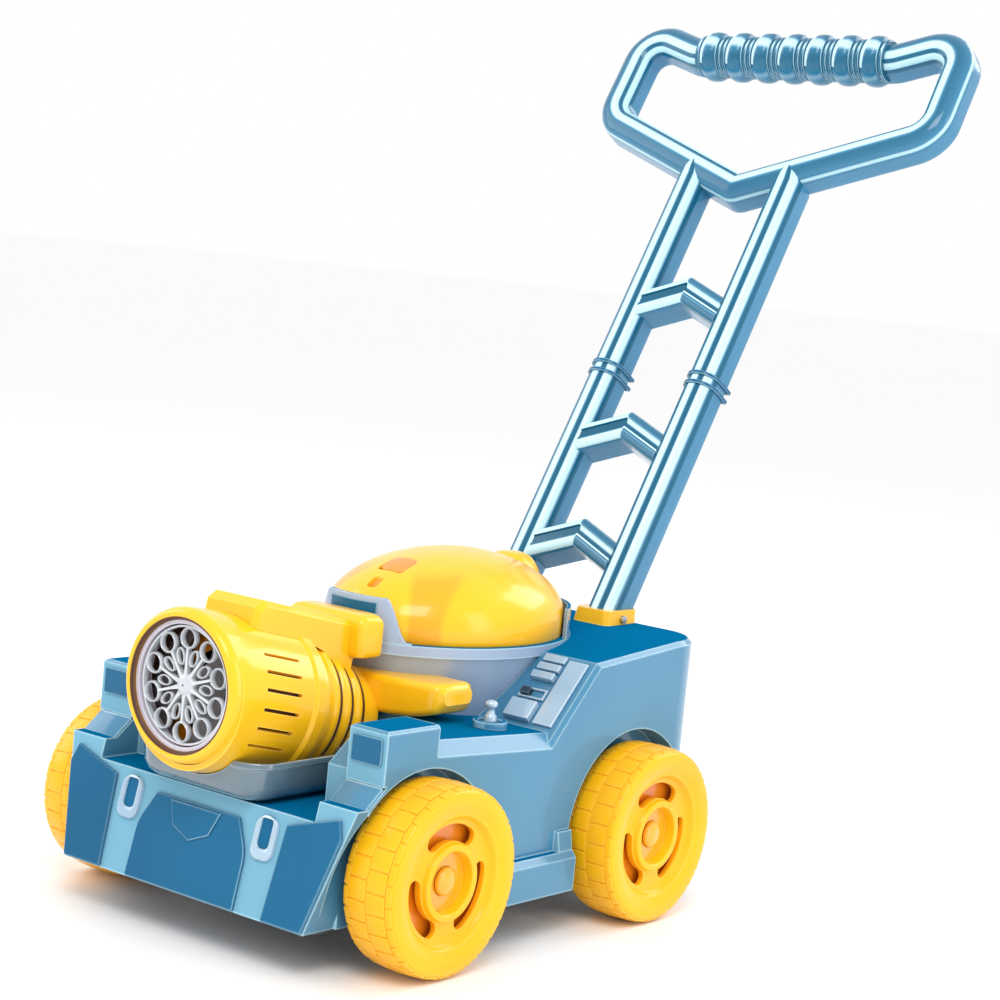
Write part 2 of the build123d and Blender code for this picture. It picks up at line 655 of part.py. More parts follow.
# the blower: an impeller on a small motor, on the barrel's own axis
FAN_L = 62.0
with BuildPart() as fan_impeller:
    with BuildSketch(drum_plane(FAN_L)):
        Circle(24.0)
    extrude(amount=1.4)
    with BuildSketch(drum_plane(FAN_L + 1.4)):
        with PolarLocations(17.5, 12):
            Rectangle(12.0, 1.2)
        Circle(5.0)
    extrude(amount=8.0)
    with BuildSketch(drum_plane(FAN_L + 9.4)):
        Circle(1.0)
    extrude(amount=9.0)
save(fan_impeller, "fan_impeller")

with BuildPart() as fan_motor:
    with BuildSketch(drum_plane(FAN_L + 13.0)):
        Circle(12.0)
        Circle(1.0 + RUN_GAP, mode=Mode.SUBTRACT)
    extrude(amount=24.0)
save(fan_motor, "fan_motor")

# ---------------------------------------------------------------- covers around the drum
with BuildPart() as drum_space:
    with BuildSketch(PROFILE_PLANE):
        with BuildLine():
            Polyline(
                (-6.0, 0.0), (-6.0, 40.0), (10.0, BARREL_R), (58.0, BARREL_R), (60.0, 43.0), (66.0, 43.0),
                (67.5, 40.0), (71.0, 40.0), (80.0, 38.5), (90.0, 34.0), (98.0, 28.5), (112.0, 28.0), (112.0, 0.0),
                close=True
            )
        make_face()
    revolve(axis=DRUM_AXIS)

with BuildPart() as solution_tray:
    with BuildSketch(Plane.XY.offset(TROUGH_Z)):
        with Locations((0, -218.0)):
            RectangleRounded(92.0, 78.0, 5.0)
    extrude(amount=22.0)
    with BuildSketch(Plane.XY.offset(TROUGH_Z + 2.5)):
        with Locations((0, -218.0)):
            RectangleRounded(86.0, 72.0, 3.0)
    extrude(amount=30.0, mode=Mode.SUBTRACT)
    add(drum_space.part, mode=Mode.SUBTRACT)
save(solution_tray, "solution_tray")

with BuildPart() as barrel_ridge:
    with BuildSketch(Plane(origin=(-20.0, DRUM_Y, DRUM_Z), x_dir=drum_plane(0).z_dir, z_dir=(1, 0, 0))):
        with BuildLine():
            Polyline(
                (24.0, 34.0), (24.0, 47.5), (29.0, 52.0), (105.0, 52.0), (105.0, 24.0), (84.0, 26.0), close=True
            )
        make_face()
    extrude(amount=40.0)
    ridge_tops = barrel_ridge.edges().filter_by(lambda e: abs(e.center().X) > 19 and e.center().Z > 160)
    chamfer(ridge_tops, length=3.0)
    with BuildSketch(Plane(origin=(-17.0, DRUM_Y, DRUM_Z), x_dir=drum_plane(0).z_dir, z_dir=(1, 0, 0))):
        with BuildLine():
            Polyline((27.0, 10.0), (27.0, 46.0), (30.0, 48.8), (102.5, 48.8), (102.5, 10.0), close=True)
        make_face()
    extrude(amount=34.0, mode=Mode.SUBTRACT)
    add(drum_space.part, mode=Mode.SUBTRACT)
save(barrel_ridge, "barrel_ridge")

with BuildPart() as blower_block:
    with BuildSketch(Plane(origin=(0, -146.3, 0), x_dir=(1, 0, 0), z_dir=(0, -1, 0))):
        with BuildLine():
            Polyline(
                (-24.0, 168.0), (24.0, 168.0), (28.0, 162.0), (28.0, 122.0), (-28.0, 122.0), (-28.0, 162.0),
                close=True
            )
        make_face()
    extrude(amount=20.0)
    with Locations((0, -156.3, 140.0)):
        Box(51.0, 15.0, 50.0, mode=Mode.SUBTRACT)
    add(drum_space.part, mode=Mode.SUBTRACT)
    add(barrel_ridge.part, mode=Mode.SUBTRACT)
save(blower_block, "blower_block")

with BuildPart() as air_manifold:
    with BuildSketch(Plane(origin=(0, -112.0, 0), x_dir=(1, 0, 0), z_dir=(0, -1, 0))):
        with BuildLine():
            Polyline((-66.0, 135.0), (66.0, 135.0), (57.0, 114.0), (-57.0, 114.0), close=True)
        make_face()
    extrude(amount=29.0)
    with BuildSketch(Plane(origin=(0, -114.5, 0), x_dir=(1, 0, 0), z_dir=(0, -1, 0))):
        with BuildLine():
            Polyline((-61.5, 132.5), (61.5, 132.5), (52.0, 110.0), (-52.0, 110.0), close=True)
        make_face()
    extrude(amount=24.0, mode=Mode.SUBTRACT)
    add(envelope.part, mode=Mode.SUBTRACT)
    add(pod(0.0), mode=Mode.SUBTRACT)
save(air_manifold, "air_manifold")

# ---------------------------------------------------------------- engine pod and its cover
with BuildPart() as engine_pod:
    add(pod(0.0))
    add(pod(2.2), mode=Mode.SUBTRACT)
    with BuildSketch(Plane(origin=(0, POD_Y, POD_Z - 6))):
        Ellipse(POD_A + 1.7, POD_B - 0.3)
        Ellipse(POD_A - 4.0, POD_B - 6.0, mode=Mode.SUBTRACT)
    extrude(amount=6.0)
    # raised collar behind the cover
    with BuildSketch(Plane(origin=(0, POD_Y, POD_Z))):
        Ellipse(POD_A + 1.7, POD_B - 0.3)
        Ellipse(POD_A - 0.8, POD_B - 2.8, mode=Mode.SUBTRACT)
        with Locations((0, -60.0)):
            Rectangle(160.0, 210.0, mode=Mode.SUBTRACT)
    extrude(amount=17.0)
save(engine_pod, "engine_pod")


def cover(inset):
    """The cover's domed body, lofted through four ovals."""
    with BuildPart() as body:
        sections = (
            (POD_Z - inset, 59.5, 78.5, 0.0), (POD_Z + 9.0, 60.0, 79.0, 0.0), (POD_Z + 27.0, 51.0, 68.0, 1.0),
            (POD_Z + 40.0, 33.0, 47.0, 2.0), (POD_Z + 47.0 - inset, 12.0, 20.0, 3.0),
        )
        for height, a, b, shift in sections:
            with BuildSketch(Plane(origin=(0, POD_Y + shift, height))):
                Ellipse(a - inset, b - inset)
        loft()
    return body.part


with BuildPart() as engine_cover:
    add(cover(0.0))
    add(cover(2.4), mode=Mode.SUBTRACT)
    # two recesses at the front
    with BuildSketch(Plane.XY.offset(162.0)):
        with Locations((0, -107.0)):
            RectangleRounded(18.0, 15.0, 5.0)
        with Locations((0, -124.0)):
            RectangleRounded(7.0, 8.0, 2.5)
    extrude(amount=36.0, mode=Mode.SUBTRACT)
save(engine_cover, "engine_cover")

with BuildPart() as cover_vents:
    with BuildSketch(Plane.XY.offset(162.0)):
        with Locations((0, -107.0)):
            RectangleRounded(18.0, 15.0, 5.0)
        with Locations((0, -124.0)):
            RectangleRounded(7.0, 8.0, 2.5)
    extrude(amount=36.0)
    add(cover(2.4), mode=Mode.INTERSECT)
    add(cover(4.4), mode=Mode.SUBTRACT)
save(cover_vents, "cover_vents")

with BuildPart() as cover_scoop:
    with BuildSketch(across(-19.0)):
        with BuildLine():
            Polyline(
                (-34.0, 183.0), (-16.0, 193.5), (-2.0, 193.5), (15.0, 172.0), (15.0, 160.0), (-34.0, 176.0),
                close=True
            )
        make_face()
    extrude(amount=38.0)
    scoop_edges = cover_scoop.edges().filter_by(lambda e: abs(e.center().X) > 18 and e.center().Z > 175)
    chamfer(scoop_edges, length=4.0)
    add(cover(0.0), mode=Mode.SUBTRACT)
save(cover_scoop, "cover_scoop")

# ---------------------------------------------------------------- control panels beside the pod
SLOPE = Plane(origin=(0, -85.0, 111.0), x_dir=(1, 0, 0), z_dir=(0, -36.5, 34.0))

with BuildPart() as console_panels:
    with BuildSketch(SLOPE):
        for side in (-1, 1):
            with Locations((side * 91.0, 25.0)):
                Rectangle(13.0, 44.0)
    extrude(amount=1.6)
save(console_panels, "console_panels")

with BuildPart() as louvre_panels:
    for i in range(3):
        with BuildSketch(SLOPE):
            for side in (-1, 1):
                with Locations((side * 75.0, 33.0 + 6.5 * i)):
                    Rectangle(15.0, 4.5)
        extrude(amount=4.0 - i)
    with BuildSketch(SLOPE):
        for side in (-1, 1):
            with Locations((side * 74.0, 9.0)):
                Rectangle(17.0, 12.0)
    extrude(amount=4.5)
    # frame of the power switch
    with BuildSketch(SLOPE):
        with Locations((74.0, 21.5)):
            Rectangle(17.5, 7.0)
            Rectangle(15.0, 4.6, mode=Mode.SUBTRACT)
    extrude(amount=1.6)
save(louvre_panels, "louvre_panels")

KNOB_AT = (70.0, 21.5)

with BuildPart() as switch_knob:
    with BuildSketch(SLOPE.offset(0.1)):
        with Locations(KNOB_AT):
            Rectangle(6.0, 4.2)
    extrude(amount=3.6)
save(switch_knob, "switch_knob")

with BuildPart() as button_collar:
    with BuildSketch(Plane.XY.offset(111.0)):
        with Locations(BUTTON_AT):
            Circle(9.5)
            Circle(6.2, mode=Mode.SUBTRACT)
    extrude(amount=6.0)
    add(envelope.part, mode=Mode.SUBTRACT)
save(button_collar, "button_collar")

with BuildPart() as start_button:
    with BuildSketch(Plane.XY.offset(98.0)):
        with Locations(BUTTON_AT):
            Circle(STEM_R)
    extrude(amount=30.0)
    with BuildSketch(Plane.XY.offset(104.0)):
        with Locations(BUTTON_AT):
            Circle(5.5)
    extrude(amount=2.0)
    chamfer(start_button.faces().sort_by(Axis.Z)[-1].edges(), length=1.0)
save(start_button, "start_button")

# ---------------------------------------------------------------- handle
with BuildPart() as pole_sockets:
    for side in (-1, 1):
        with BuildSketch(Plane.XY.offset(150.0)):
            with Locations((side * POLE_X, 43.0)):
                RectangleRounded(28.0, 33.0, 5.0)
        with BuildSketch(Plane.XY.offset(163.0)):
            with Locations((side * POLE_X, 45.0)):
                RectangleRounded(25.4, 31.0, 5.0)
        loft()
    add(envelope.part, mode=Mode.SUBTRACT)
    for side in (-1, 1):
        add(pole(side, 5.0, 60.0, 0.0), mode=Mode.SUBTRACT)
save(pole_sockets, "pole_sockets")

with BuildPart() as socket_screws:
    for side in (-1, 1):
        for end in (-1, 1):
            with BuildSketch(across(side * POLE_X + end * 13.0)):
                with Locations((43.0, 158.0)):
                    Circle(2.4)
            extrude(amount=end * 2.4)
    add(pole_sockets.part, mode=Mode.SUBTRACT)
save(socket_screws, "socket_screws")


def inner_corners(points, offset):
    """A closed outline moved inwards by offset, corner by corner."""
    moved = []
    count = len(points)
    for i in range(count):
        before, here, after = points[i - 1], points[i], points[(i + 1) % count]
        first = Vector(here[0] - before[0], here[1] - before[1], 0).normalized()
        second = Vector(after[0] - here[0], after[1] - here[1], 0).normalized()
        first_in = Vector(-first.Y, first.X, 0)
        second_in = Vector(-second.Y, second.X, 0)
        mitre = (first_in + second_in) * (offset / (1.0 + first_in.dot(second_in)))
        moved.append((here[0] + mitre.X, here[1] + mitre.Y))
    return moved


HEAD_LINE = HEAD_POINTS + [(-x, t) for x, t in reversed(HEAD_POINTS[1:])]
HEAD_DEPTH = 22.0


def head_ring(inset, soften):
    """The head of the handle as one bent ring, smaller by inset on every side."""
    outer = inner_corners(HEAD_LINE, inset - HEAD_HALF)
    hole = inner_corners(HEAD_LINE, HEAD_HALF - inset)
    with BuildPart() as ring:
        with BuildSketch(handle_plane(inset)):
            with BuildLine():
                Polyline(*outer, close=True)
            make_face()
            with BuildLine():
                Polyline(*hole, close=True)
            make_face(mode=Mode.SUBTRACT)
        extrude(amount=2 * inset - HEAD_DEPTH)
        if soften:
            wide = ring.edges().filter_by(lambda e: abs(e.center().dot(FACING) - HANDLE_POINT.dot(FACING)) < 0.1)
            chamfer(wide, length=soften)
    return ring.part


head_solid = head_ring(0.0, 4.0)
head_hollow = head_solid - head_ring(POLE_WALL + 1.4, 0.0)
HEAD_OUT = inner_corners(HEAD_LINE, -HEAD_HALF - 8.0)
HEAD_IN = inner_corners(HEAD_LINE, HEAD_HALF + 8.0)
HEAD_BARS = (
    ("head_v_right", 0, 1), ("head_side_right", 1, 2), ("head_top_bar", 2, 5),
    ("head_side_left", 5, 6), ("head_v_left", 6, 7),
)
for bar_name, first, last in HEAD_BARS:
    with BuildPart() as bar:
        with BuildSketch(handle_plane(-5.0)):
            outline = [HEAD_OUT[i % 7] for i in range(first, last + 1)]
            outline += [HEAD_IN[i % 7] for i in range(last, first - 1, -1)]
            with BuildLine():
                Polyline(*outline, close=True)
            make_face()
        extrude(amount=-HEAD_DEPTH - 10.0)
        add(head_hollow, mode=Mode.INTERSECT)
    save(bar, bar_name)

for pole_name, start, end in (("lower_pole", POLE_FOOT, JOINT_T), ("upper_pole", JOINT_T, POLE_TOP)):
    for side_name, side in SIDES:
        with BuildPart() as tube:
            add(pole(side, start, end, 0.0))
            add(pole(side, start, end, POLE_WALL), mode=Mode.SUBTRACT)
            add(head_solid, mode=Mode.SUBTRACT)
        save(tube, pole_name + "_" + side_name)

RUNGS = (("front_rung", 79.0), ("middle_rung", 155.5), ("upper_rung", 256.0))
RUNG_HALF = 10.0
RUNG_SLOPE = 0.43
for rung_name, apex in RUNGS:
    with BuildPart() as rung:
        for inset, depth in ((0.0, 1.0), (POLE_WALL, 3.2)):
            reach = 30.0
            drop = RUNG_SLOPE * reach
            half = RUNG_HALF - inset
            with BuildSketch(handle_plane(depth)):
                with BuildLine():
                    Polyline(
                        (-reach, apex - drop - half), (0.0, apex - half), (reach, apex - drop - half),
                        (reach, apex - drop + half), (0.0, apex + half), (-reach, apex - drop + half), close=True
                    )
                make_face()
            if inset:
                extrude(amount=-20.0, mode=Mode.SUBTRACT)
            else:
                extrude(amount=-20.0)
        for side in (-1, 1):
            add(pole(side, apex - 50.0, apex + 40.0, 0.0), mode=Mode.SUBTRACT)
    save(rung, rung_name)

with BuildPart() as joint_collars:
    for side in (-1, 1):
        for low, high in ((189.0, 191.4), (195.6, 198.0)):
            add(pole(side, low, high, -1.5))
        add(pole(side, 180.0, 205.0, 0.0), mode=Mode.SUBTRACT)
save(joint_collars, "joint_collars")

GRIP_HALF = 72.0
RIBS = 7
with BuildPart() as hand_grip:
    pitch = 2 * GRIP_HALF / RIBS
    centre = HANDLE_POINT + ALONG * HEAD_POINTS[3][1] - FACING * (HEAD_DEPTH / 2)
    with BuildSketch(Plane(origin=centre, x_dir=(1, 0, 0), z_dir=FACING)):
        for i in range(RIBS):
            middle = (i - (RIBS - 1) / 2) * pitch
            with BuildLine():
                Polyline(
                    (middle - pitch / 2, 0.0), (middle - pitch / 2, 14.6), (middle - pitch / 2 + 3.0, 16.4),
                    (middle + pitch / 2 - 3.0, 16.4), (middle + pitch / 2, 14.6), (middle + pitch / 2, 0.0),
                    close=True
                )
            make_face()
    revolve(axis=Axis(centre, (1, 0, 0)))
    add(head_solid, mode=Mode.SUBTRACT)
save(hand_grip, "hand_grip")

# ---------------------------------------------------------------- electronics inside the deck
with BuildPart() as circuit_board:
    with Locations((0, 20.0, DECK_Z + 20.0)):
        Box(60.0, 1.6, 40.0)
    for x in (-18.0, 0.0, 16.0):
        with Locations((x, 17.2, DECK_Z + 22.0)):
            Box(8.0, 4.0, 8.0)
save(circuit_board, "circuit_board")

with BuildPart() as speaker:
    with BuildSketch(Plane(origin=(0, REAR_FACE - WALL, 70.0), x_dir=(1, 0, 0), z_dir=(0, -1, 0))):
        Circle(20.0)
    extrude(amount=4.0)
    with BuildSketch(Plane(origin=(0, REAR_FACE - WALL - 4.0, 70.0), x_dir=(1, 0, 0), z_dir=(0, -1, 0))):
        Circle(10.0)
    extrude(amount=5.0)
save(speaker, "speaker")
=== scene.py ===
import bpy
import bmesh
import json
import math
from mathutils import Matrix, Vector


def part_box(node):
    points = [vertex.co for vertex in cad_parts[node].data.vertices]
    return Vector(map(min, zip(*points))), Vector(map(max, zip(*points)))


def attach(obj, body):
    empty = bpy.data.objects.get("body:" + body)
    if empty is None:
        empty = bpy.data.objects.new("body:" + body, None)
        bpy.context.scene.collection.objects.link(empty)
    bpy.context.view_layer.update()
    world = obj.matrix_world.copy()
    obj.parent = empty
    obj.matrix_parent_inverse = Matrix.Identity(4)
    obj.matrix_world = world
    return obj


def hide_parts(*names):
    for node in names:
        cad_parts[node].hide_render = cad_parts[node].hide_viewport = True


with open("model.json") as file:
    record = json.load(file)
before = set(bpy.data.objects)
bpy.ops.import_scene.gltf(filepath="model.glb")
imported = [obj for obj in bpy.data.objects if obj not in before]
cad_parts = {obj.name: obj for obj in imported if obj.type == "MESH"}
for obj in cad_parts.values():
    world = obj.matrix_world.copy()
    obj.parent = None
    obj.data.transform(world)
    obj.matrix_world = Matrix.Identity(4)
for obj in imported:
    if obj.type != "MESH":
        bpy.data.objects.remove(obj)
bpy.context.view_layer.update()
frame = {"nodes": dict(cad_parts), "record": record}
NODES = frame["nodes"]
X_AXIS, Y_AXIS, Z_AXIS = Vector((1, 0, 0)), Vector((0, 1, 0)), Vector((0, 0, 1))

# ------------------------------------------------------------ driving places
WHEELS = ("front_left_wheel", "front_right_wheel", "rear_left_wheel", "rear_right_wheel")
LEAN = math.radians(30.2)
ALONG = Vector((0.0, math.sin(LEAN), math.cos(LEAN)))
FACING = Vector((0.0, -math.cos(LEAN), math.sin(LEAN)))
HANDLE_POINT = Vector((0.0, 0.0182, 0.1362))
POLE_X = 0.0367
RING_LOW, RING_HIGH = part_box("drum_ring")
DRUM_Y = RING_LOW.y
DRUM_Z = (RING_LOW.z + RING_HIGH.z) / 2
TILT = math.radians(12.0)
BACK = Vector((0.0, math.cos(TILT), -math.sin(TILT)))
DRUM_POINT = Vector((0.0, DRUM_Y, DRUM_Z))


def on_handle(x, t, out=0.0):
    """A point x across, t up and out in front of the handle's plane."""
    return HANDLE_POINT + Vector((x, 0, 0)) + ALONG * t + FACING * out


# ------------------------------------------------------------ material helpers
EDGE_SAMPLES = 4                           # rays of the node that finds the edges
ROUGH_SPREAD = 0.03                        # how far handling marks change the roughness
PEEL_STRENGTH, PEEL_DEPTH = 0.04, 0.0004   # orange peel of moulded plastic
COAT_ROUGHNESS = 0.06
GLASS_IOR = 1.46
BAND_SHADE = (0.001, 0.095, 0.175)         # darkest blue of a painted reflection band


def feed(tree, socket, value):
    """Links a socket to an output, or sets its plain value."""
    if isinstance(value, bpy.types.NodeSocket):
        tree.links.new(value, socket)
    else:
        socket.default_value = value


def maths(tree, operation, *values):
    """The output of a maths node."""
    node = tree.nodes.new("ShaderNodeMath")
    node.operation = operation
    for socket, value in zip(node.inputs, values):
        feed(tree, socket, value)
    return node.outputs["Value"]


def dot_product(tree, first, second):
    """How far two directions agree."""
    node = tree.nodes.new("ShaderNodeVectorMath")
    node.operation = "DOT_PRODUCT"
    feed(tree, node.inputs[0], first)
    feed(tree, node.inputs[1], second)
    return node.outputs["Value"]


def remap(tree, value, low, high, to_low=0.0, to_high=1.0, smooth=False):
    """A value taken from one range to another and kept inside it."""
    node = tree.nodes.new("ShaderNodeMapRange")
    if smooth:
        node.interpolation_type = "SMOOTHSTEP"
    limits = {"From Min": low, "From Max": high, "To Min": to_low, "To Max": to_high}
    for label, number in limits.items():
        node.inputs[label].default_value = number
    tree.links.new(value, node.inputs["Value"])
    return node.outputs["Result"]


def tinted(tree, amount, under, tint):
    """A colour mixed towards a plain tint."""
    node = tree.nodes.new("ShaderNodeMix")
    node.data_type = "RGBA"
    node.inputs["B"].default_value = (*tint, 1)
    tree.links.new(amount, node.inputs["Factor"])
    tree.links.new(under, node.inputs["A"])
    return node.outputs["Result"]


def noise(tree, coords, scale, detail, roughness=0.5):
    """Noise in the piece's own coordinates."""
    node = tree.nodes.new("ShaderNodeTexNoise")
    for label, number in {"Scale": scale, "Detail": detail, "Roughness": roughness}.items():
        node.inputs[label].default_value = number
    tree.links.new(coords.outputs["Object"], node.inputs["Vector"])
    return node.outputs["Fac"]


def plastic(name, color, deep, edge, rough=0.22, coat=0.5, edge_size=0.0012, edge_amount=0.7,
            metallic=0.0, alpha_glass=0.0, facing=(), shine=0.5):
    """Moulded plastic: slow colour drift, painted edge highlights, handling marks and fine orange peel.

    Each entry of facing is (direction, tint, low, high): faces turned that way take the tint as painted
    light and shade, and lose their coat and shine.
    """
    mat = bpy.data.materials.new(name)
    mat.use_nodes = True
    tree = mat.node_tree
    nodes, links = tree.nodes, tree.links
    shader = nodes["Principled BSDF"]
    coords = nodes.new("ShaderNodeTexCoord")
    ramp = nodes.new("ShaderNodeValToRGB")
    low_stop, high_stop = ramp.color_ramp.elements
    low_stop.position, high_stop.position = 0.32, 0.62
    low_stop.color, high_stop.color = (*deep, 1), (*color, 1)
    links.new(noise(tree, coords, 9.0, 3.0), ramp.inputs["Fac"])
    shader.inputs["Coat Weight"].default_value = coat
    shader.inputs["Specular IOR Level"].default_value = shine
    base = ramp.outputs["Color"]
    # painted light and shade: faces turned towards a direction take its tint
    for direction, tint, low, high in facing:
        turned_to = dot_product(tree, coords.outputs["Normal"], direction)
        amount = remap(tree, turned_to, low, high, smooth=True)
        base = tinted(tree, amount, base, tint)
        for label, full in (("Coat Weight", coat), ("Specular IOR Level", shine)):
            matt = maths(tree, "MULTIPLY_ADD", amount, -full, full)
            if shader.inputs[label].links:
                matt = maths(tree, "MINIMUM", shader.inputs[label].links[0].from_socket, matt)
            links.new(matt, shader.inputs[label])
    # painted highlights on the edges: a pale tint where the rounded normal leaves the flat one
    rounded = nodes.new("ShaderNodeBevel")
    rounded.samples = EDGE_SAMPLES
    rounded.inputs["Radius"].default_value = edge_size
    geometry = nodes.new("ShaderNodeNewGeometry")
    flatness = dot_product(tree, rounded.outputs["Normal"], geometry.outputs["Normal"])
    corner = remap(tree, flatness, 0.995, 0.86, to_high=edge_amount)
    links.new(tinted(tree, corner, base, edge), shader.inputs["Base Color"])
    marks = noise(tree, coords, 60.0, 6.0, 0.7)
    spread = remap(tree, marks, 0.3, 0.75, max(0.02, rough - ROUGH_SPREAD), rough + 2 * ROUGH_SPREAD)
    links.new(spread, shader.inputs["Roughness"])
    bumps = nodes.new("ShaderNodeBump")
    bumps.inputs["Strength"].default_value = PEEL_STRENGTH
    bumps.inputs["Distance"].default_value = PEEL_DEPTH
    links.new(noise(tree, coords, 420.0, 2.0), bumps.inputs["Height"])
    links.new(bumps.outputs["Normal"], shader.inputs["Normal"])
    shader.inputs["Coat Roughness"].default_value = COAT_ROUGHNESS
    shader.inputs["Metallic"].default_value = metallic
    if alpha_glass:
        shader.inputs["Transmission Weight"].default_value = alpha_glass
        shader.inputs["IOR"].default_value = GLASS_IOR
    return mat


def reflection_banded(name, color, deep, pale, stops):
    """High-gloss plastic with painted reflections: light and dark bands round its section, read from the
    piece's band value.
    """
    mat = plastic(name, color, deep, pale, rough=0.14, coat=0.25, edge_amount=0.25, shine=0.3)
    tree = mat.node_tree
    band = tree.nodes.new("ShaderNodeAttribute")
    band.attribute_name = "band"
    ramp = tree.nodes.new("ShaderNodeValToRGB")
    while len(ramp.color_ramp.elements) < len(stops):
        ramp.color_ramp.elements.new(0.5)
    for element, (place, value) in zip(ramp.color_ramp.elements, stops):
        element.position = place
        element.color = (value, value, value, 1)
    tree.links.new(band.outputs["Fac"], ramp.inputs["Fac"])
    base = tree.nodes["Principled BSDF"].inputs["Base Color"]
    # painted highlights mix towards the pale tint, painted shade towards BAND_SHADE
    light = remap(tree, ramp.outputs["Color"], 0.5, 1.0)
    shade = remap(tree, ramp.outputs["Color"], 0.5, 0.0)
    bright = tinted(tree, light, base.links[0].from_socket, pale)
    tree.links.new(tinted(tree, shade, bright, BAND_SHADE), base)
    return mat


def with_dome_painted_reflection(mat, tint):
    """Adds a painted reflection, a darker tint, on both flanks of a dome, where its normal turns forward,
    below its top.
    """
    tree = mat.node_tree
    coords = tree.nodes.new("ShaderNodeTexCoord")
    split = tree.nodes.new("ShaderNodeSeparateXYZ")
    tree.links.new(coords.outputs["Normal"], split.inputs["Vector"])
    aside = maths(tree, "ABSOLUTE", split.outputs["X"])
    off_band = maths(tree, "ABSOLUTE", maths(tree, "ADD", aside, split.outputs["Y"]))
    band = remap(tree, off_band, 0.24, 0.15, smooth=True)
    below_top = remap(tree, split.outputs["Z"], 0.94, 0.84, smooth=True)
    base = tree.nodes["Principled BSDF"].inputs["Base Color"]
    amount = maths(tree, "MULTIPLY", band, below_top)
    tree.links.new(tinted(tree, amount, base.links[0].from_socket, tint), base)


# ------------------------------------------------------------ materials
# DEEP is painted on up-facing faces of the body and pod as a dark reflection, and is also the darker end of
# the clip floor's own colour drift
DEEP = (0.001, 0.130, 0.290)
TEAL = (0.003, 0.110, 0.235)
SHINE = (0.62, 0.90, 0.98)
# body blue: up-facing faces painted deep blue as a painted reflection, faces turned to the front painted
# paler as a painted highlight
BLUE = plastic("blue_body", (0.070, 0.245, 0.400), (0.052, 0.205, 0.350), SHINE, rough=0.16, coat=0.35,
    edge_size=0.0016,
               facing=(((0, 0, 1), DEEP, 0.86, 0.96), ((0, -0.976, 0.217), (0.190, 0.420, 0.560), 0.86,
                   0.96)), shine=0.3)
# stops of the painted reflections round a section: above 0.5 a painted highlight, below 0.5 a painted dark
# line
TUBE_BANDS = (
    (0.00, 0.50), (0.185, 0.50), (0.200, 0.30), (0.225, 0.12), (0.240, 0.60), (0.300, 0.50),
    (0.318, 0.06), (0.338, 0.06), (0.348, 0.92), (0.402, 1.00), (0.412, 0.60), (0.424, 0.02),
    (0.452, 0.02), (0.462, 0.88), (0.522, 0.96), (0.536, 0.60), (0.550, 0.04), (0.588, 0.06),
    (0.602, 0.50), (0.800, 0.50), (1.00, 0.50),
)
TUBE = reflection_banded("blue_tube", (0.058, 0.235, 0.400), (0.040, 0.195, 0.345), (0.60, 0.88, 0.93), TUBE_BANDS)
HEAD_BANDS = (
    (0.00, 0.50), (0.190, 0.50), (0.204, 0.10), (0.232, 0.10), (0.244, 0.88), (0.292, 0.94),
    (0.304, 0.08), (0.326, 0.08), (0.338, 0.92), (0.392, 1.00), (0.410, 0.50), (0.430, 0.14),
    (0.480, 0.24), (0.540, 0.42), (0.552, 0.86), (0.572, 0.86), (0.584, 0.36), (0.620, 0.50),
    (0.800, 0.50), (1.00, 0.50),
)
HEAD_TUBE = reflection_banded("blue_head", (0.058, 0.235, 0.400), (0.040, 0.195, 0.345), (0.60, 0.88, 0.93),
    HEAD_BANDS)
RIB_BANDS = (
    (0.00, 0.30), (0.05, 0.92), (0.09, 0.30), (0.12, 0.10), (0.17, 0.30), (0.21, 0.88),
    (0.25, 0.94), (0.29, 0.35), (0.33, 0.12), (0.40, 0.25), (0.47, 0.62), (0.55, 0.35),
    (0.62, 0.22), (0.75, 0.34), (0.86, 0.60), (1.00, 0.30),
)
RIBBED = reflection_banded("blue_ribbed", (0.045, 0.225, 0.380), (0.028, 0.180, 0.320), (0.64, 0.90, 0.96), RIB_BANDS)
GLOSS = plastic("blue_gloss", (0.045, 0.225, 0.380), (0.028, 0.180, 0.320), SHINE, rough=0.14, coat=0.3,
    shine=0.3)
GUARD = plastic("guard_white", (0.62, 0.56, 0.64), (0.50, 0.46, 0.56), (0.92, 0.90, 0.96), rough=0.18)
GREY = plastic("baffle_grey", (0.20, 0.18, 0.18), (0.13, 0.11, 0.11), (0.45, 0.44, 0.46), rough=0.32)
PANEL = plastic("blue_panel", (0.003, 0.125, 0.265), (0.001, 0.098, 0.215), SHINE, rough=0.14, coat=0.2,
    edge_size=0.0010,
                shine=0.2)
# pod: up-facing faces painted deep blue as a painted reflection
POD = plastic("pod_blue", (0.360, 0.450, 0.600), (0.250, 0.360, 0.500), SHINE, rough=0.14, coat=0.4,
    edge_size=0.0014,
              facing=(((0, 0, 1), DEEP, 0.80, 0.95),), shine=0.3)
PALE = plastic("pale_blue", (0.44, 0.58, 0.70), (0.22, 0.38, 0.54), (0.85, 0.95, 1.0), rough=0.18, coat=1.0)
YELLOW = plastic("yellow", (1.0, 0.540, 0.008), (0.97, 0.480, 0.006), (1.0, 0.82, 0.18), rough=0.20,
    coat=0.35,
                 edge_amount=0.55, shine=0.35)
DOME = plastic("yellow_dome", (1.0, 0.540, 0.008), (0.98, 0.500, 0.006), (1.0, 0.82, 0.18), rough=0.24,
    coat=0.35,
               edge_amount=0.3, shine=0.35)
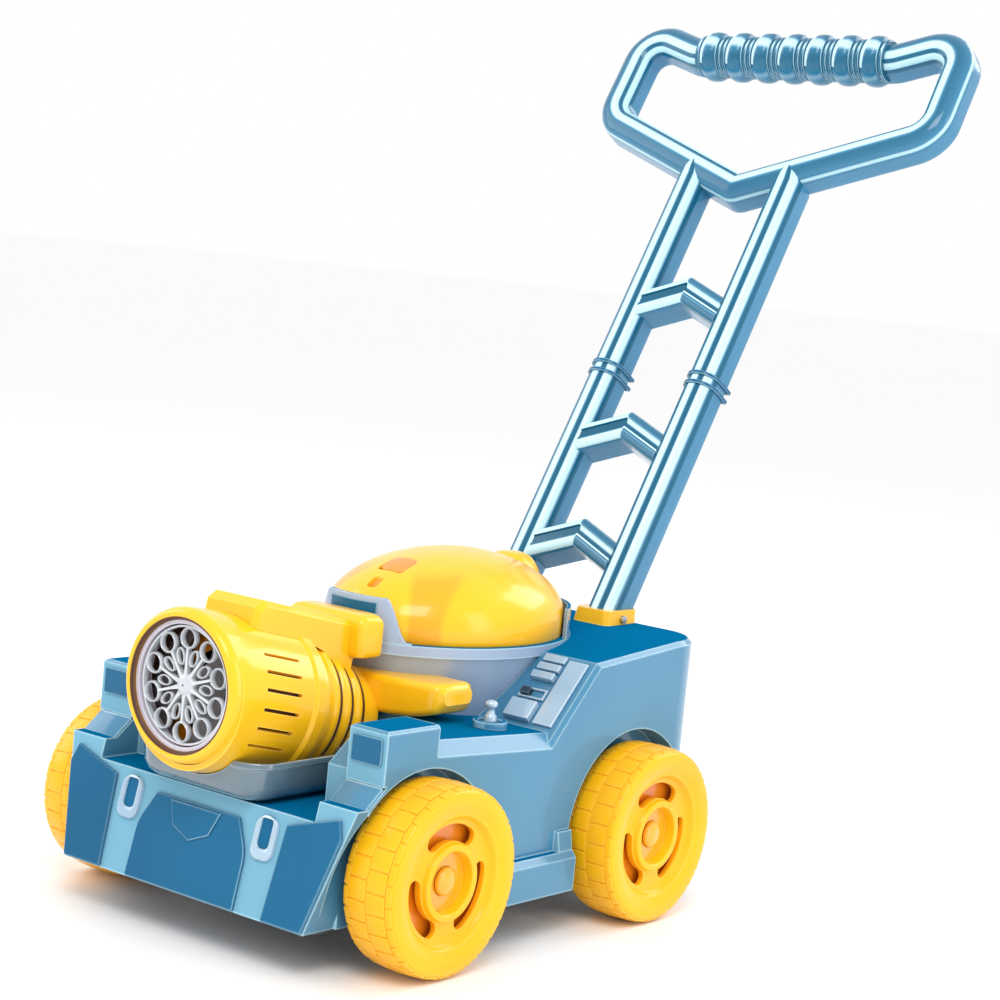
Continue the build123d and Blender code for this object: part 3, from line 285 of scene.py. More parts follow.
# darker amber bands on the dome: painted reflection
with_dome_painted_reflection(DOME, (0.90, 0.400, 0.006))
TYRE = plastic("yellow_tyre", (1.0, 0.510, 0.006), (0.94, 0.430, 0.004), (1.0, 0.72, 0.12), rough=0.30,
    coat=0.15,
               edge_amount=0.45, shine=0.25)
AMBER = plastic("orange", (0.90, 0.300, 0.008), (0.78, 0.210, 0.006), (1.0, 0.62, 0.12), rough=0.30)
HONEY = plastic("yellow_hub", (0.99, 0.440, 0.010), (0.92, 0.340, 0.008), (1.0, 0.72, 0.16), rough=0.24,
    coat=0.6)
CLIP_FLOOR = plastic("clip_floor", TEAL, DEEP, SHINE, rough=0.3, coat=0.1, edge_amount=0.02, shine=0.15)
# dark brown standing in for shade in the duct folds, under the drum's lip and inside the barrel: painted
# shade
SHADE_BROWN = plastic("painted_shade_dark", (0.070, 0.022, 0.004), (0.030, 0.010, 0.003), (0.20, 0.08, 0.02), rough=0.6,
    coat=0.0)
DARK = plastic("dark_plastic", (0.020, 0.045, 0.070), (0.012, 0.026, 0.042), (0.16, 0.24, 0.30),
    rough=0.42, coat=0.1)
WHITE = plastic("white_plastic", (0.66, 0.70, 0.74), (0.54, 0.58, 0.64), (0.95, 0.98, 1.0), rough=0.20,
    coat=0.8,
                alpha_glass=0.15)
STEEL = plastic("steel", (0.50, 0.52, 0.54), (0.36, 0.38, 0.40), (0.80, 0.82, 0.84), rough=0.30, coat=0.0,
    metallic=1.0)
CLEAR = plastic("clear_tint", (0.22, 0.33, 0.40), (0.16, 0.26, 0.34), (0.80, 0.90, 0.95), rough=0.12,
    coat=1.0,
                alpha_glass=0.45)
CHROME = plastic("button_pale", (0.46, 0.60, 0.72), (0.20, 0.34, 0.48), (0.90, 0.96, 1.0), rough=0.10,
    coat=1.0,
                 metallic=0.3)
WRAP = plastic("cell_wrap", (0.05, 0.06, 0.07), (0.03, 0.035, 0.04), (0.30, 0.32, 0.34), rough=0.3,
    metallic=0.4)
BOARD = plastic("board", (0.02, 0.12, 0.05), (0.012, 0.08, 0.03), (0.25, 0.35, 0.20), rough=0.5)
MATERIALS = {
    "blue_body": BLUE, "blue_gloss": GLOSS, "pale_blue": PALE, "yellow": YELLOW, "orange": AMBER,
    "clear_tint": CLEAR, "white_plastic": WHITE, "dark_plastic": DARK, "steel": STEEL, "cell_wrap": WRAP,
    "board": BOARD,
}
SPECIAL = {"wand_guard": GUARD, "air_baffle": GREY, "cover_vents": AMBER}
SLOTS = {entry["node"]: entry["material_slot"] for entry in frame["record"]["subparts"]}
BODY_OF = {node: body for body,
    members in frame["record"]["behaviour"]["bodies"].items() for node in members}
for node_name, node in NODES.items():
    node.data.materials.clear()
    node.data.materials.append(SPECIAL.get(node_name) or MATERIALS[SLOTS[node_name]])


# ------------------------------------------------------------ mesh helpers
def finish_piece(obj, mat, body, sharp=35.0):
    """Material, shading and body of a new piece."""
    obj.data.materials.clear()
    obj.data.materials.append(mat)
    for face in obj.data.polygons:
        face.use_smooth = True
    obj.data.set_sharp_from_angle(angle=math.radians(sharp))
    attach(obj, body)
    return obj


def from_bmesh(bm, name):
    """A scene object from a bmesh, which is freed."""
    mesh = bpy.data.meshes.new(name)
    bm.to_mesh(mesh)
    bm.free()
    obj = bpy.data.objects.new(name, mesh)
    bpy.context.scene.collection.objects.link(obj)
    return obj


def apply_modifiers(obj):
    """Turns the evaluated mesh into the object's own."""
    graph = bpy.context.evaluated_depsgraph_get()
    mesh = bpy.data.meshes.new_from_object(obj.evaluated_get(graph))
    obj.modifiers.clear()
    obj.data = mesh
    return obj


def cut_by(obj, cutter):
    """Adds an exact cut by another object; it takes effect when the modifiers are applied."""
    cut = obj.modifiers.new("cut", "BOOLEAN")
    cut.operation = "DIFFERENCE"
    cut.solver = "EXACT"
    cut.object = cutter


def softened(name, node, width, mat, segments=2, angle=28.0):
    """A CAD node's shape with its corners rounded, standing for that node."""
    bm = bmesh.new()
    bm.from_mesh(NODES[node].data)
    bmesh.ops.remove_doubles(bm, verts=bm.verts, dist=2e-6)
    bmesh.ops.dissolve_limit(bm, angle_limit=math.radians(0.6), verts=bm.verts, edges=bm.edges)
    obj = from_bmesh(bm, name)
    bevel = obj.modifiers.new("round", "BEVEL")
    bevel.width = width
    bevel.segments = segments
    bevel.limit_method = "ANGLE"
    bevel.angle_limit = math.radians(angle)
    bevel.use_clamp_overlap = True
    apply_modifiers(obj)
    finish_piece(obj, mat, BODY_OF[node], 32.0)
    flat = obj.modifiers.new("flat", "WEIGHTED_NORMAL")
    flat.weight = 90
    flat.keep_sharp = True
    apply_modifiers(obj)
    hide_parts(node)
    return obj


def lathe(name, profile, origin, axis, segments=96):
    """A closed profile of (along, radius) points turned about an axis."""
    axis = axis.normalized()
    side = X_AXIS if abs(axis.x) < 0.9 else Y_AXIS
    first = (side - axis * side.dot(axis)).normalized()
    second = axis.cross(first)
    bm = bmesh.new()
    rings = []
    for along, radius in profile:
        ring = []
        for i in range(segments):
            angle = 2 * math.pi * i / segments
            spoke = first * math.cos(angle) + second * math.sin(angle)
            ring.append(bm.verts.new(origin + axis * along + spoke * radius))
        rings.append(ring)
    count = len(rings)
    for r in range(count):
        here, there = rings[r], rings[(r + 1) % count]
        for i in range(segments):
            bm.faces.new((here[i], here[(i + 1) % segments], there[(i + 1) % segments], there[i]))
    bmesh.ops.recalc_face_normals(bm, faces=bm.faces)
    return from_bmesh(bm, name)


def sweep(name, stations, closed=False):
    """Joins equal-length rings of points into a tube."""
    bm = bmesh.new()
    rings = [[bm.verts.new(p) for p in ring] for ring in stations]
    count = len(rings)
    width = len(rings[0])
    for r in range(count if closed else count - 1):
        here, there = rings[r], rings[(r + 1) % count]
        for i in range(width):
            bm.faces.new((here[i], here[(i + 1) % width], there[(i + 1) % width], there[i]))
    if not closed:
        bm.faces.new(rings[0])
        bm.faces.new(list(reversed(rings[-1])))
    bmesh.ops.recalc_face_normals(bm, faces=bm.faces)
    return from_bmesh(bm, name)


def join(name, objects):
    """One object from several, in the order given."""
    bm = bmesh.new()
    for obj in objects:
        bm.from_mesh(obj.data)
        bpy.data.objects.remove(obj)
    return from_bmesh(bm, name)


def block(centre, size, turn, bevel):
    """A bevelled block, turned by a matrix about its centre."""
    bm = bmesh.new()
    bmesh.ops.create_cube(bm, size=1.0)
    bmesh.ops.scale(bm, vec=size, verts=bm.verts)
    bmesh.ops.bevel(bm, geom=bm.edges, offset=bevel, segments=2, affect="EDGES", profile=0.6)
    bmesh.ops.transform(bm, matrix=Matrix.Translation(centre) @ turn, verts=bm.verts)
    return from_bmesh(bm, "block")


# ------------------------------------------------------------ road wheels
WHEEL_SLOTS = (90.0, 213.0, 333.0)         # middles of the three curved slots, degrees
SLOT_SPAN = 66.0                           # arc of a slot, degrees
SLOT_RADIUS, SLOT_HALF = 0.0255, 0.0045    # middle radius and half width of a slot
SLOT_STEPS, SLOT_END_STEPS = 16, 3
BRICKS = 28                                # tread bricks round a wheel


def road_wheel(node):
    """A slotted rim with its tread, hub recess and orange liner, standing for a CAD wheel."""
    low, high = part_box(node)
    side = 1 if high.x > 0 else -1
    inner = low.x if side > 0 else high.x
    hub = Vector((inner, (low.y + high.y) / 2, (low.z + high.z) / 2))
    outward = Vector((side, 0, 0))
    outer = (high.z - low.z) / 2
    profile = [
        (0.0, 0.0440), (0.0, 0.0466), (0.0012, 0.0478), (0.0030, 0.0485), (0.0100, 0.0493),
        (0.0170, 0.0495), (0.0240, 0.0493), (0.0300, 0.0485), (0.0322, 0.0478), (0.0332, 0.0466),
        (0.0334, 0.0450), (0.0334, 0.0420), (0.0330, 0.0390), (0.0318, 0.0366), (0.0316, 0.0358),
        (0.0318, 0.0350), (0.0310, 0.0340), (0.0290, 0.0332), (0.0278, 0.0320), (0.0276, 0.0308),
        (0.0276, 0.0218), (0.0280, 0.0206), (0.0304, 0.0200), (0.0310, 0.0196), (0.0310, 0.0170),
        (0.0304, 0.0163), (0.0260, 0.0156), (0.0244, 0.0150), (0.0244, 0.00308), (0.0014, 0.00308),
        (0.0014, 0.0080), (0.0212, 0.0082), (0.0212, 0.0168), (0.0244, 0.0220), (0.0244, 0.0315),
        (0.0269, 0.0380), (0.0284, 0.0440),
    ]
    rim = lathe(node + "_rim", profile, hub, outward, 144)
    cutters = []
    for middle in WHEEL_SLOTS:
        stations = []
        for i in range(-SLOT_END_STEPS, SLOT_STEPS + SLOT_END_STEPS + 1):
            part = min(max(i, 0), SLOT_STEPS) / SLOT_STEPS
            angle = math.radians(middle - SLOT_SPAN / 2 + SLOT_SPAN * part)
            half = SLOT_HALF
            if i < 0 or i > SLOT_STEPS:
                beyond = (-i if i < 0 else i - SLOT_STEPS) / SLOT_END_STEPS
                turn = beyond * math.pi / 2 * 0.92
                angle += math.copysign(half * math.sin(turn) / SLOT_RADIUS, i)
                half *= math.cos(turn)
            ring = []
            for x, r in (
                (0.010, SLOT_RADIUS - half), (0.010, SLOT_RADIUS + half),
                (0.040, SLOT_RADIUS + half), (0.040, SLOT_RADIUS - half),
            ):
                ring.append(Vector((inner + side * x, hub.y + r * math.cos(angle),
                    hub.z + r * math.sin(angle))))
            stations.append(ring)
        cutters.append(sweep("cutter", stations))
    cutter = join("cutter", cutters)
    cut_by(rim, cutter)
    bevel = rim.modifiers.new("round", "BEVEL")
    bevel.width = 0.0005
    bevel.segments = 2
    bevel.limit_method = "ANGLE"
    bevel.angle_limit = math.radians(50)
    apply_modifiers(rim)
    bpy.data.objects.remove(cutter)
    finish_piece(rim, TYRE, node, 40)
    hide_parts(node)
    # tread: two staggered rows of bricks and a row of notches on each shoulder
    pieces = []
    for row, (x, length, radius, tip) in enumerate((
        (0.0107, 0.0116, 0.0493, 3.0), (0.0228, 0.0116, 0.0493, -3.0),
        (0.0028, 0.0034, 0.0484, 14.0), (0.0306, 0.0034, 0.0484, -14.0),
        (0.0326, 0.0016, 0.0464, -62.0),
    )):
        for i in range(BRICKS):
            angle = 2 * math.pi * (i + (0.5 if row in (1, 2) else 0.0)) / BRICKS
            wide = 2 * math.pi * outer / BRICKS * (0.89 if row < 2 else 0.84)
            height = 0.0013 if row < 4 else 0.0012
            place = Vector((inner + side * x, hub.y + (radius - 0.0002) * math.cos(angle),
                            hub.z + (radius - 0.0002) * math.sin(angle)))
            turn = Matrix.Rotation(angle, 4, "X") @ Matrix.Rotation(math.radians(side * tip), 4, "Z")
            pieces.append(block(place, (length, height, wide), turn, 0.0005))
    tread = join(node + "_tread", pieces)
    finish_piece(tread, TYRE, node, 50)
    recess = lathe(
        node + "_recess",
        [
            (0.0245, 0.0079), (0.0245, 0.0149), (0.0252, 0.0150), (0.0252, 0.0138),
            (0.0250, 0.0090), (0.0250, 0.0079),
        ],
        hub, outward, 72
    )
    finish_piece(recess, HONEY, node, 40)
    liner = lathe(
        node + "_liner",
        [(0.0200, 0.0172), (0.0200, 0.0432), (0.0207, 0.0432), (0.0207, 0.0172)],
        hub, outward, 72
    )
    finish_piece(liner, AMBER, node, 40)


for wheel_node in WHEELS:
    road_wheel(wheel_node)

# ------------------------------------------------------------ deck and its trim
for row in (
    ("deck", "deck_shell", 0.0011, BLUE, 2, 25.0), ("bumper_centre", "bumper_panel", 0.0007, PANEL),
    ("cheeks", "bumper_cheeks", 0.0007, PANEL), ("badge", "badge_plate", 0.0004, PANEL),
    ("headlights", "headlight_panels", 0.0004, PANEL), ("console", "console_panels", 0.0005, PALE),
    ("louvres", "louvre_panels", 0.0005, PALE),
):
    softened(*row)
cap_parts = []
CAP_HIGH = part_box("axle_caps")[1]
for node in WHEELS:
    low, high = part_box(node)
    side = 1 if high.x > 0 else -1
    cap_parts.append(lathe(
        "cap", [
            (0.0, 0.0004), (0.0, 0.0074), (0.0010, 0.0075), (0.0018, 0.0071), (0.0024, 0.0062),
            (0.0030, 0.0044), (0.0033, 0.0022), (0.0034, 0.0004),
        ],
        Vector((side * (CAP_HIGH.x - 0.0040), (low.y + high.y) / 2, (low.z + high.z) / 2)),
        Vector((side, 0, 0)), 48
    ))
caps = join("axle_buttons", cap_parts)
finish_piece(caps, HONEY, BODY_OF["axle_caps"], 50)
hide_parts("axle_caps")
for row in (
    ("collar_ring", "button_collar", 0.0006, BLUE), ("sockets", "pole_sockets", 0.0022, YELLOW, 4),
    ("ridge", "barrel_ridge", 0.0018, YELLOW, 3), ("pod_body", "engine_pod", 0.0008, POD, 3, 35.0),
    ("barrel", "drum_housing", 0.0004, YELLOW, 2, 30.0), ("collars", "joint_collars", 0.0005, PANEL),
):
    softened(*row)

# start button: a flared skirt, a waisted stem and a ball
BUTTON_LOW, BUTTON_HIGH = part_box("start_button")
button_foot = Vector(((BUTTON_LOW.x + BUTTON_HIGH.x) / 2, (BUTTON_LOW.y + BUTTON_HIGH.y) / 2, BUTTON_LOW.z))
button = lathe(
    "button_pin",
    [
        (0.0000, 0.0004), (0.0000, 0.0034), (0.0060, 0.0035), (0.0062, 0.0054), (0.0080, 0.0054),
        (0.0082, 0.0035), (0.0205, 0.0035), (0.0212, 0.0033), (0.0225, 0.0024), (0.0240, 0.0020),
        (0.0252, 0.0021), (0.0258, 0.0028), (0.0268, 0.0034), (0.0280, 0.0035), (0.0290, 0.0030),
        (0.0297, 0.0018), (0.0300, 0.0004),
    ],
    button_foot, Z_AXIS, 48
)
finish_piece(button, CHROME, "start_button", 50)
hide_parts("start_button")

# solution tray: a rounded pan, cut to the barrel
TRAY_LOW, TRAY_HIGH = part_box("solution_tray")
tray_middle = (TRAY_LOW + TRAY_HIGH) / 2
tray_half = (TRAY_HIGH - TRAY_LOW) / 2


def tray_loop(height, inset, corner):
    """A rounded rectangle of the pan at one height."""
    loop = []
    for sx, sy, start in ((1, 1, 0.0), (-1, 1, 90.0), (-1, -1, 180.0), (1, -1, 270.0)):
        for step in range(9):
            angle = math.radians(start + 90.0 * step / 8)
            loop.append(Vector((
                tray_middle.x + sx * (tray_half.x - inset - corner) + corner * math.cos(angle),
                tray_middle.y + sy * (tray_half.y - inset - corner) + corner * math.sin(angle),
                TRAY_LOW.z + height,
            )))
    return loop


tray_rings = []
for height, inset, corner in (
    (0.0002, 0.0150, 0.0060), (0.0004, 0.0110, 0.0090), (0.0018, 0.0065, 0.0120),
    (0.0045, 0.0032, 0.0140), (0.0090, 0.0012, 0.0150), (0.0185, 0.0008, 0.0150),
    (0.0192, 0.0001, 0.0155), (0.0214, 0.0001, 0.0155), (0.0220, 0.0006, 0.0150),
    (0.0220, 0.0020, 0.0140), (0.0214, 0.0025, 0.0135), (0.0090, 0.0030, 0.0130),
    (0.0055, 0.0050, 0.0120), (0.0030, 0.0085, 0.0100), (0.0020, 0.0125, 0.0070),
    (0.0018, 0.0160, 0.0050),
):
    tray_rings.append(tray_loop(height, inset, corner))
pan = sweep("tray_pan", tray_rings)
barrel_space = lathe("space", [
    (-0.006, 0.0405), (0.0100, 0.0420), (0.0575, 0.0420), (0.0595, 0.0436), (0.0668, 0.0436),
    (0.0900, 0.0400), (0.0900, 0.0002), (-0.006, 0.0002),
], DRUM_POINT, BACK, 128)
cut_by(pan, barrel_space)
apply_modifiers(pan)
bpy.data.objects.remove(barrel_space)
finish_piece(pan, CLEAR, "mower", 40)
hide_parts("solution_tray")


def rounded_loop(centre, across, over, half_a, half_b, corner, steps=6):
    """A rounded rectangle of points in the plane of two directions."""
    loop = []
    for sa, sb, start in ((1, 1, 0.0), (-1, 1, 90.0), (-1, -1, 180.0), (1, -1, 270.0)):
        for step in range(steps + 1):
            angle = math.radians(start + 90.0 * step / steps)
            a = sa * (half_a - corner) + corner * math.cos(angle)
            b = sb * (half_b - corner) + corner * math.sin(angle)
            loop.append(centre + across * a + over * b)
    return loop


def smooth_step(value, low, high):
    """0 below low, 1 above high, and a soft rise between."""
    part = min(max((value - low) / (high - low), 0.0), 1.0)
    return part * part * (3 - 2 * part)


# fillets where the fenders meet the headlight blocks
for side in (-1, 1):
    stations = []
    for x, thin in ((0.0785, 0.0003), (0.0790, 0.0), (0.1020, 0.0), (0.1026, 0.0003)):
        stations.append([Vector((side * x, y, z)) for y, z in (
            (-0.2378, 0.0876 - thin), (-0.2364, 0.0892 - thin), (-0.2262, 0.0977 - thin),
            (-0.2258, 0.0960), (-0.2366, 0.0866)
        )])
    fillet = sweep("fender_fillet_right" if side > 0 else "fender_fillet_left", stations)
    finish_piece(fillet, BLUE, "mower", 30)

# bumper clips: rounded frames with a blue floor
BUMPER_LEAN = math.radians(12.55)
BUMPER_FOOT_Y, BUMPER_FOOT_Z = -0.2584, 0.0240
CLIP_X = 0.049
FACE_UP = Vector((0, math.sin(BUMPER_LEAN), math.cos(BUMPER_LEAN)))
FACE_OUT = Vector((0, -math.cos(BUMPER_LEAN), math.sin(BUMPER_LEAN)))
CLIP_RINGS = (                             # up the face, out of it, half sizes, corner
    (0.040, 0.0001, 0.0075, 0.0110, 0.0050), (0.040, 0.0013, 0.0075, 0.0110, 0.0050),
    (0.040, 0.0019, 0.0069, 0.0104, 0.0046), (0.043, 0.0019, 0.0045, 0.0087, 0.0034),
    (0.043, 0.0014, 0.0040, 0.0082, 0.0030), (0.043, 0.0001, 0.0040, 0.0082, 0.0030),
)
FLOOR_RINGS = ((0.043, 0.0002, 0.0042, 0.0084, 0.0030), (0.043, 0.0007, 0.0042, 0.0084, 0.0030))
clip_parts, clip_floors = [], []
for side in (-1, 1):
    foot = Vector((side * CLIP_X, BUMPER_FOOT_Y, BUMPER_FOOT_Z))
    for part, name, rings in ((clip_parts, "clip", CLIP_RINGS), (clip_floors, "clip_floor", FLOOR_RINGS)):
        part.append(sweep(name, [
            rounded_loop(foot + FACE_UP * up + FACE_OUT * out, X_AXIS, FACE_UP, half_x, half_y, corner)
            for up, out, half_x, half_y, corner in rings
        ], closed=name == "clip"))
clips = join("clip_frames", clip_parts)
finish_piece(clips, PALE, "mower", 50)
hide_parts("bumper_clips")
floors = join("clip_floors", clip_floors)
finish_piece(floors, CLIP_FLOOR, "mower", 50)


# corrugated duct behind the barrel: three folds, each with a dark ring of painted shade in its gap
def cone_radius(along):
    """Radius of the tapered duct at a place along the barrel's axis."""
    return 0.0400 - (along - 0.0665) * 0.215 if along < 0.112 else 0.0302 - (along - 0.112) * 0.10


duct_profile = [(0.0640, 0.0300), (0.0640, cone_radius(0.0665)), (0.0665, cone_radius(0.0665))]
fold_shade_rings = []
for fold in (0.0850, 0.0975, 0.1100):
    for step, rise in (
        (-0.0062, 0.0), (-0.0052, 0.0007), (-0.0036, 0.0013), (-0.0018, 0.0013), (-0.0006, 0.0008),
        (0.0000, 0.0000), (0.0030, -0.0003),
    ):
        duct_profile.append((fold + step, cone_radius(fold + step) + rise))
    # thin dark ring in the fold's gap: painted shade
    fold_shade_rings.append(lathe(
        "fold", [(fold - 0.0002, cone_radius(fold) - 0.0006), (fold - 0.0002, cone_radius(fold) + 0.0003),
                 (fold + 0.0028, cone_radius(fold + 0.0030) + 0.0003),
                 (fold + 0.0030, cone_radius(fold + 0.0030) - 0.0006)],
        DRUM_POINT, BACK, 96
    ))
duct_profile += [(0.1160, cone_radius(0.1160)), (0.1260, cone_radius(0.1260)), (0.1260, 0.0240)]
duct = lathe("duct", duct_profile, DRUM_POINT, BACK, 96)
finish_piece(duct, YELLOW, "mower", 60)
fold_shade = join("duct_fold_shade", fold_shade_rings)
finish_piece(fold_shade, SHADE_BROWN, "mower", 50)

# air manifold: a boat-shaped bar whose ends turn up
MANIFOLD_LOW, MANIFOLD_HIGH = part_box("air_manifold")
stations = []
steps = 33
for i in range(steps):
    part = -1 + 2 * i / (steps - 1)
    x = MANIFOLD_HIGH.x * math.sin(part * math.pi / 2)
    reach = abs(x) / MANIFOLD_HIGH.x
    front = MANIFOLD_LOW.y - 0.0080 * (1 - reach ** 2)
    under = MANIFOLD_LOW.z + 0.0070 * reach ** 5
    closing = 0.0030 * smooth_step(reach, 0.94, 1.0)
    middle = Vector((x, (front + MANIFOLD_HIGH.y) / 2, (under + MANIFOLD_HIGH.z) / 2))
    half_deep = (MANIFOLD_HIGH.y - front) / 2 - closing
    half_tall = (MANIFOLD_HIGH.z - under) / 2 - closing
    stations.append(rounded_loop(
        middle, Y_AXIS, Z_AXIS, half_deep, half_tall, min(0.0040, half_tall * 0.8)
    ))
manifold = sweep("manifold", stations)
finish_piece(manifold, YELLOW, "mower", 50)
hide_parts("air_manifold")

# blower block: a low saddle over the duct
BLOWER_LOW, BLOWER_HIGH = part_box("blower_block")
stations = []
for height, inset in (
    (0.0225, 0.0020), (0.0235, 0.0004), (0.0260, 0.0), (0.0400, 0.0), (0.0425, 0.0006),
    (0.0445, 0.0022), (0.0455, 0.0042), (0.0460, 0.0070),
):
    stations.append(rounded_loop(
        Vector((0, (BLOWER_LOW.y + BLOWER_HIGH.y) / 2, BLOWER_LOW.z + height)), X_AXIS, Y_AXIS,
        0.0280 - inset, 0.0100 - inset * 0.8, 0.0042
    ))
blower = sweep("blower", stations)
finish_piece(blower, YELLOW, "mower", 50)
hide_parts("blower_block")

# engine cover: a domed shell with its two amber openings
COVER_LOW, COVER_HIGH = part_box("engine_cover")
cover_middle = Vector((0, (COVER_LOW.y + COVER_HIGH.y) / 2, COVER_LOW.z))
cover_half = Vector((COVER_HIGH.x, (COVER_HIGH.y - COVER_LOW.y) / 2, 0))


def dome_point(tilt, around, inset):
    """A point of the dome: tilt from its rim up to its top, around its axis."""
    flat = math.cos(tilt) ** 1.04
    rise = 0.0090 + (COVER_HIGH.z - COVER_LOW.z - 0.0092) * math.sin(tilt)
    return cover_middle + Vector((
        (cover_half.x - inset) * flat * math.sin(around),
        -(cover_half.y - inset) * flat * math.cos(around) + 0.003 * math.sin(tilt),
        rise - inset * math.sin(tilt),
    ))


COVER_WALL = 0.0024
COVER_TURNS = 128


def rim_ring(tuck, height):
    """A ring of the cover's upright rim."""
    ring = []
    for k in range(COVER_TURNS):
        angle = 2 * math.pi * k / COVER_TURNS
        across, along = (cover_half.x - tuck) * math.sin(angle), -(cover_half.y - tuck) * math.cos(angle)
        ring.append(cover_middle + Vector((across, along, height)))
    return ring


def dome_ring(tilt, inset):
    """A ring of the dome at one tilt."""
    return [dome_point(tilt, 2 * math.pi * k / COVER_TURNS, inset) for k in range(COVER_TURNS)]


cover_rings = [rim_ring(0.0006, 0.0), rim_ring(0.0, 0.0008), rim_ring(0.0, 0.0080)]
cover_rings += [dome_ring(math.pi / 2 * i / 28 * 0.994, 0.0) for i in range(29)]
cover_rings += [dome_ring(math.pi / 2 * (11 - i) / 11 * 0.98, COVER_WALL) for i in range(12)]
cover_rings.append(rim_ring(COVER_WALL, 0.0))
dome = sweep("cover_dome", cover_rings, closed=True)
openings = []
for y, half_x, half_y in ((-0.1090, 0.0090, 0.0075), (-0.1265, 0.0036, 0.0040)):
    openings.append(sweep("opening", [
        rounded_loop(Vector((0, y, height)), X_AXIS, Y_AXIS, half_x, half_y, 0.0022)
        for height in (0.165, 0.205)
    ]))
opening = join("opening", openings)
cut_by(dome, opening)
apply_modifiers(dome)
bpy.data.objects.remove(opening)
finish_piece(dome, DOME, "mower", 40)
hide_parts("engine_cover")

# amber sheet under the dome, seen through its openings
patch = []
for i in range(13):
    tilt = math.radians(12.0 + 58.0 * i / 12)
    outer_row = [dome_point(tilt, math.radians(-24.0 + 4.0 * k), 0.0026) for k in range(13)]
    inner_row = [dome_point(tilt, math.radians(24.0 - 4.0 * k), 0.0034) for k in range(13)]
    patch.append(outer_row + inner_row)
under_dome = sweep("cover_underlay", patch)
finish_piece(under_dome, AMBER, "mower", 50)

# rounded scoop at the back of the cover
SCOOP_LOW, SCOOP_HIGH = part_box("cover_scoop")
stations = []
for i in range(17):
    tilt = math.pi / 2 * i / 16 * 0.985
    across = SCOOP_HIGH.x * math.cos(tilt) ** 0.62
    length = (SCOOP_HIGH.y - SCOOP_LOW.y) / 2 * math.cos(tilt) ** 0.55
    middle = Vector((
        0, (SCOOP_HIGH.y + SCOOP_LOW.y) / 2 - 0.0035 * math.sin(tilt),
        SCOOP_LOW.z + (SCOOP_HIGH.z - SCOOP_LOW.z) * math.sin(tilt),
    ))
    stations.append(rounded_loop(middle, X_AXIS, Y_AXIS, across, length, min(across, length) * 0.8, 8))
scoop = sweep("scoop", stations)
finish_piece(scoop, YELLOW, "mower", 50)
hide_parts("cover_scoop")

# cowl at the front of the pod, with a dark window
stations, window = [], []
COWL_REACH, WINDOW_REACH = 33.0, 16.5       # half arcs, degrees
pod_middle = Vector((0, -0.0620, 0.1510))
for i in range(49):
    turn = math.radians(-COWL_REACH + 2 * COWL_REACH * i / 48)
    tall = 0.0010 + 0.0230 * (1 - smooth_step(abs(math.degrees(turn)), 19.0, 31.0))
    outward = Vector((math.sin(turn), -math.cos(turn), 0))
    foot = pod_middle + Vector((0.0630 * math.sin(turn), -0.0832 * math.cos(turn), 0))
    stations.append([
        foot, foot + Vector((0, 0, tall * 0.93)), foot - outward * 0.0004 + Vector((0, 0, tall)),
        foot - outward * 0.0024 + Vector((0, 0, tall)),
        foot - outward * 0.0030 + Vector((0, 0, tall * 0.93)),
        foot - outward * 0.0030,
    ])
    if abs(math.degrees(turn)) < WINDOW_REACH:
        window.append([
            foot + outward * 0.0006 + Vector((0, 0, 0.0135)),
            foot + outward * 0.0006 + Vector((0, 0, 0.0212)),
            foot - outward * 0.0010 + Vector((0, 0, 0.0214)),
            foot - outward * 0.0010 + Vector((0, 0, 0.0133)),
        ])
cowl = sweep("pod_cowl", stations)
finish_piece(cowl, POD, "mower", 50)
pane = sweep("pod_window", window)
finish_piece(pane, PANEL, "mower", 50)

# ------------------------------------------------------------ handle
def band_sweep(name, stations, bands, closed=False):
    """A tube whose points carry band values: one row for all stations, or a row for each."""
    obj = sweep(name, stations, closed)
    attribute = obj.data.attributes.new("band", "FLOAT", "POINT")
    width = len(stations[0])
    for i in range(len(obj.data.vertices)):
        row = bands[i // width] if isinstance(bands[0], list) else bands
        attribute.data[i].value = row[i % width]
    return obj


def tube_section(half, depth, round_back=0.003):
    """Half-round front, straight sides, softly cornered back: (across, depth) points and their bands."""
    nose = 0.0095
    points = []
    for step in range(5):
        angle = math.pi / 2 * step / 4
        points.append((-half + round_back - round_back * math.sin(angle),
            depth - round_back + round_back * math.cos(angle)))
    points += [(-half, depth * 0.72), (-half, depth * 0.62), (-half, nose + 0.0016),
        (-half, nose + 0.0008), (-half, nose)]
    for step in range(1, 24):
        angle = -math.pi / 2 + math.pi * step / 24
        points.append((half * math.sin(angle), nose - nose * math.cos(angle)))
    points += [(half, nose), (half, nose + 0.0008), (half, nose + 0.0016), (half, depth * 0.62),
        (half, depth * 0.72)]
    for step in range(5):
        angle = math.pi / 2 * step / 4
        points.append((half - round_back + round_back * math.cos(angle),
            depth - round_back + round_back * math.sin(angle)))
    lengths = [0.0]
    for a, b in zip(points, points[1:]):
        lengths.append(lengths[-1] + math.hypot(b[0] - a[0], b[1] - a[1]))
    start, end = lengths[9], lengths[33]
    bands = []
    for value in lengths:
        if value <= start:
            bands.append(0.2 * value / start)
        elif value <= end:
            bands.append(0.2 + 0.4 * (value - start) / (end - start))
        else:
            bands.append(0.6 + 0.2 * (value - end) / (lengths[-1] - end))
    return points, bands


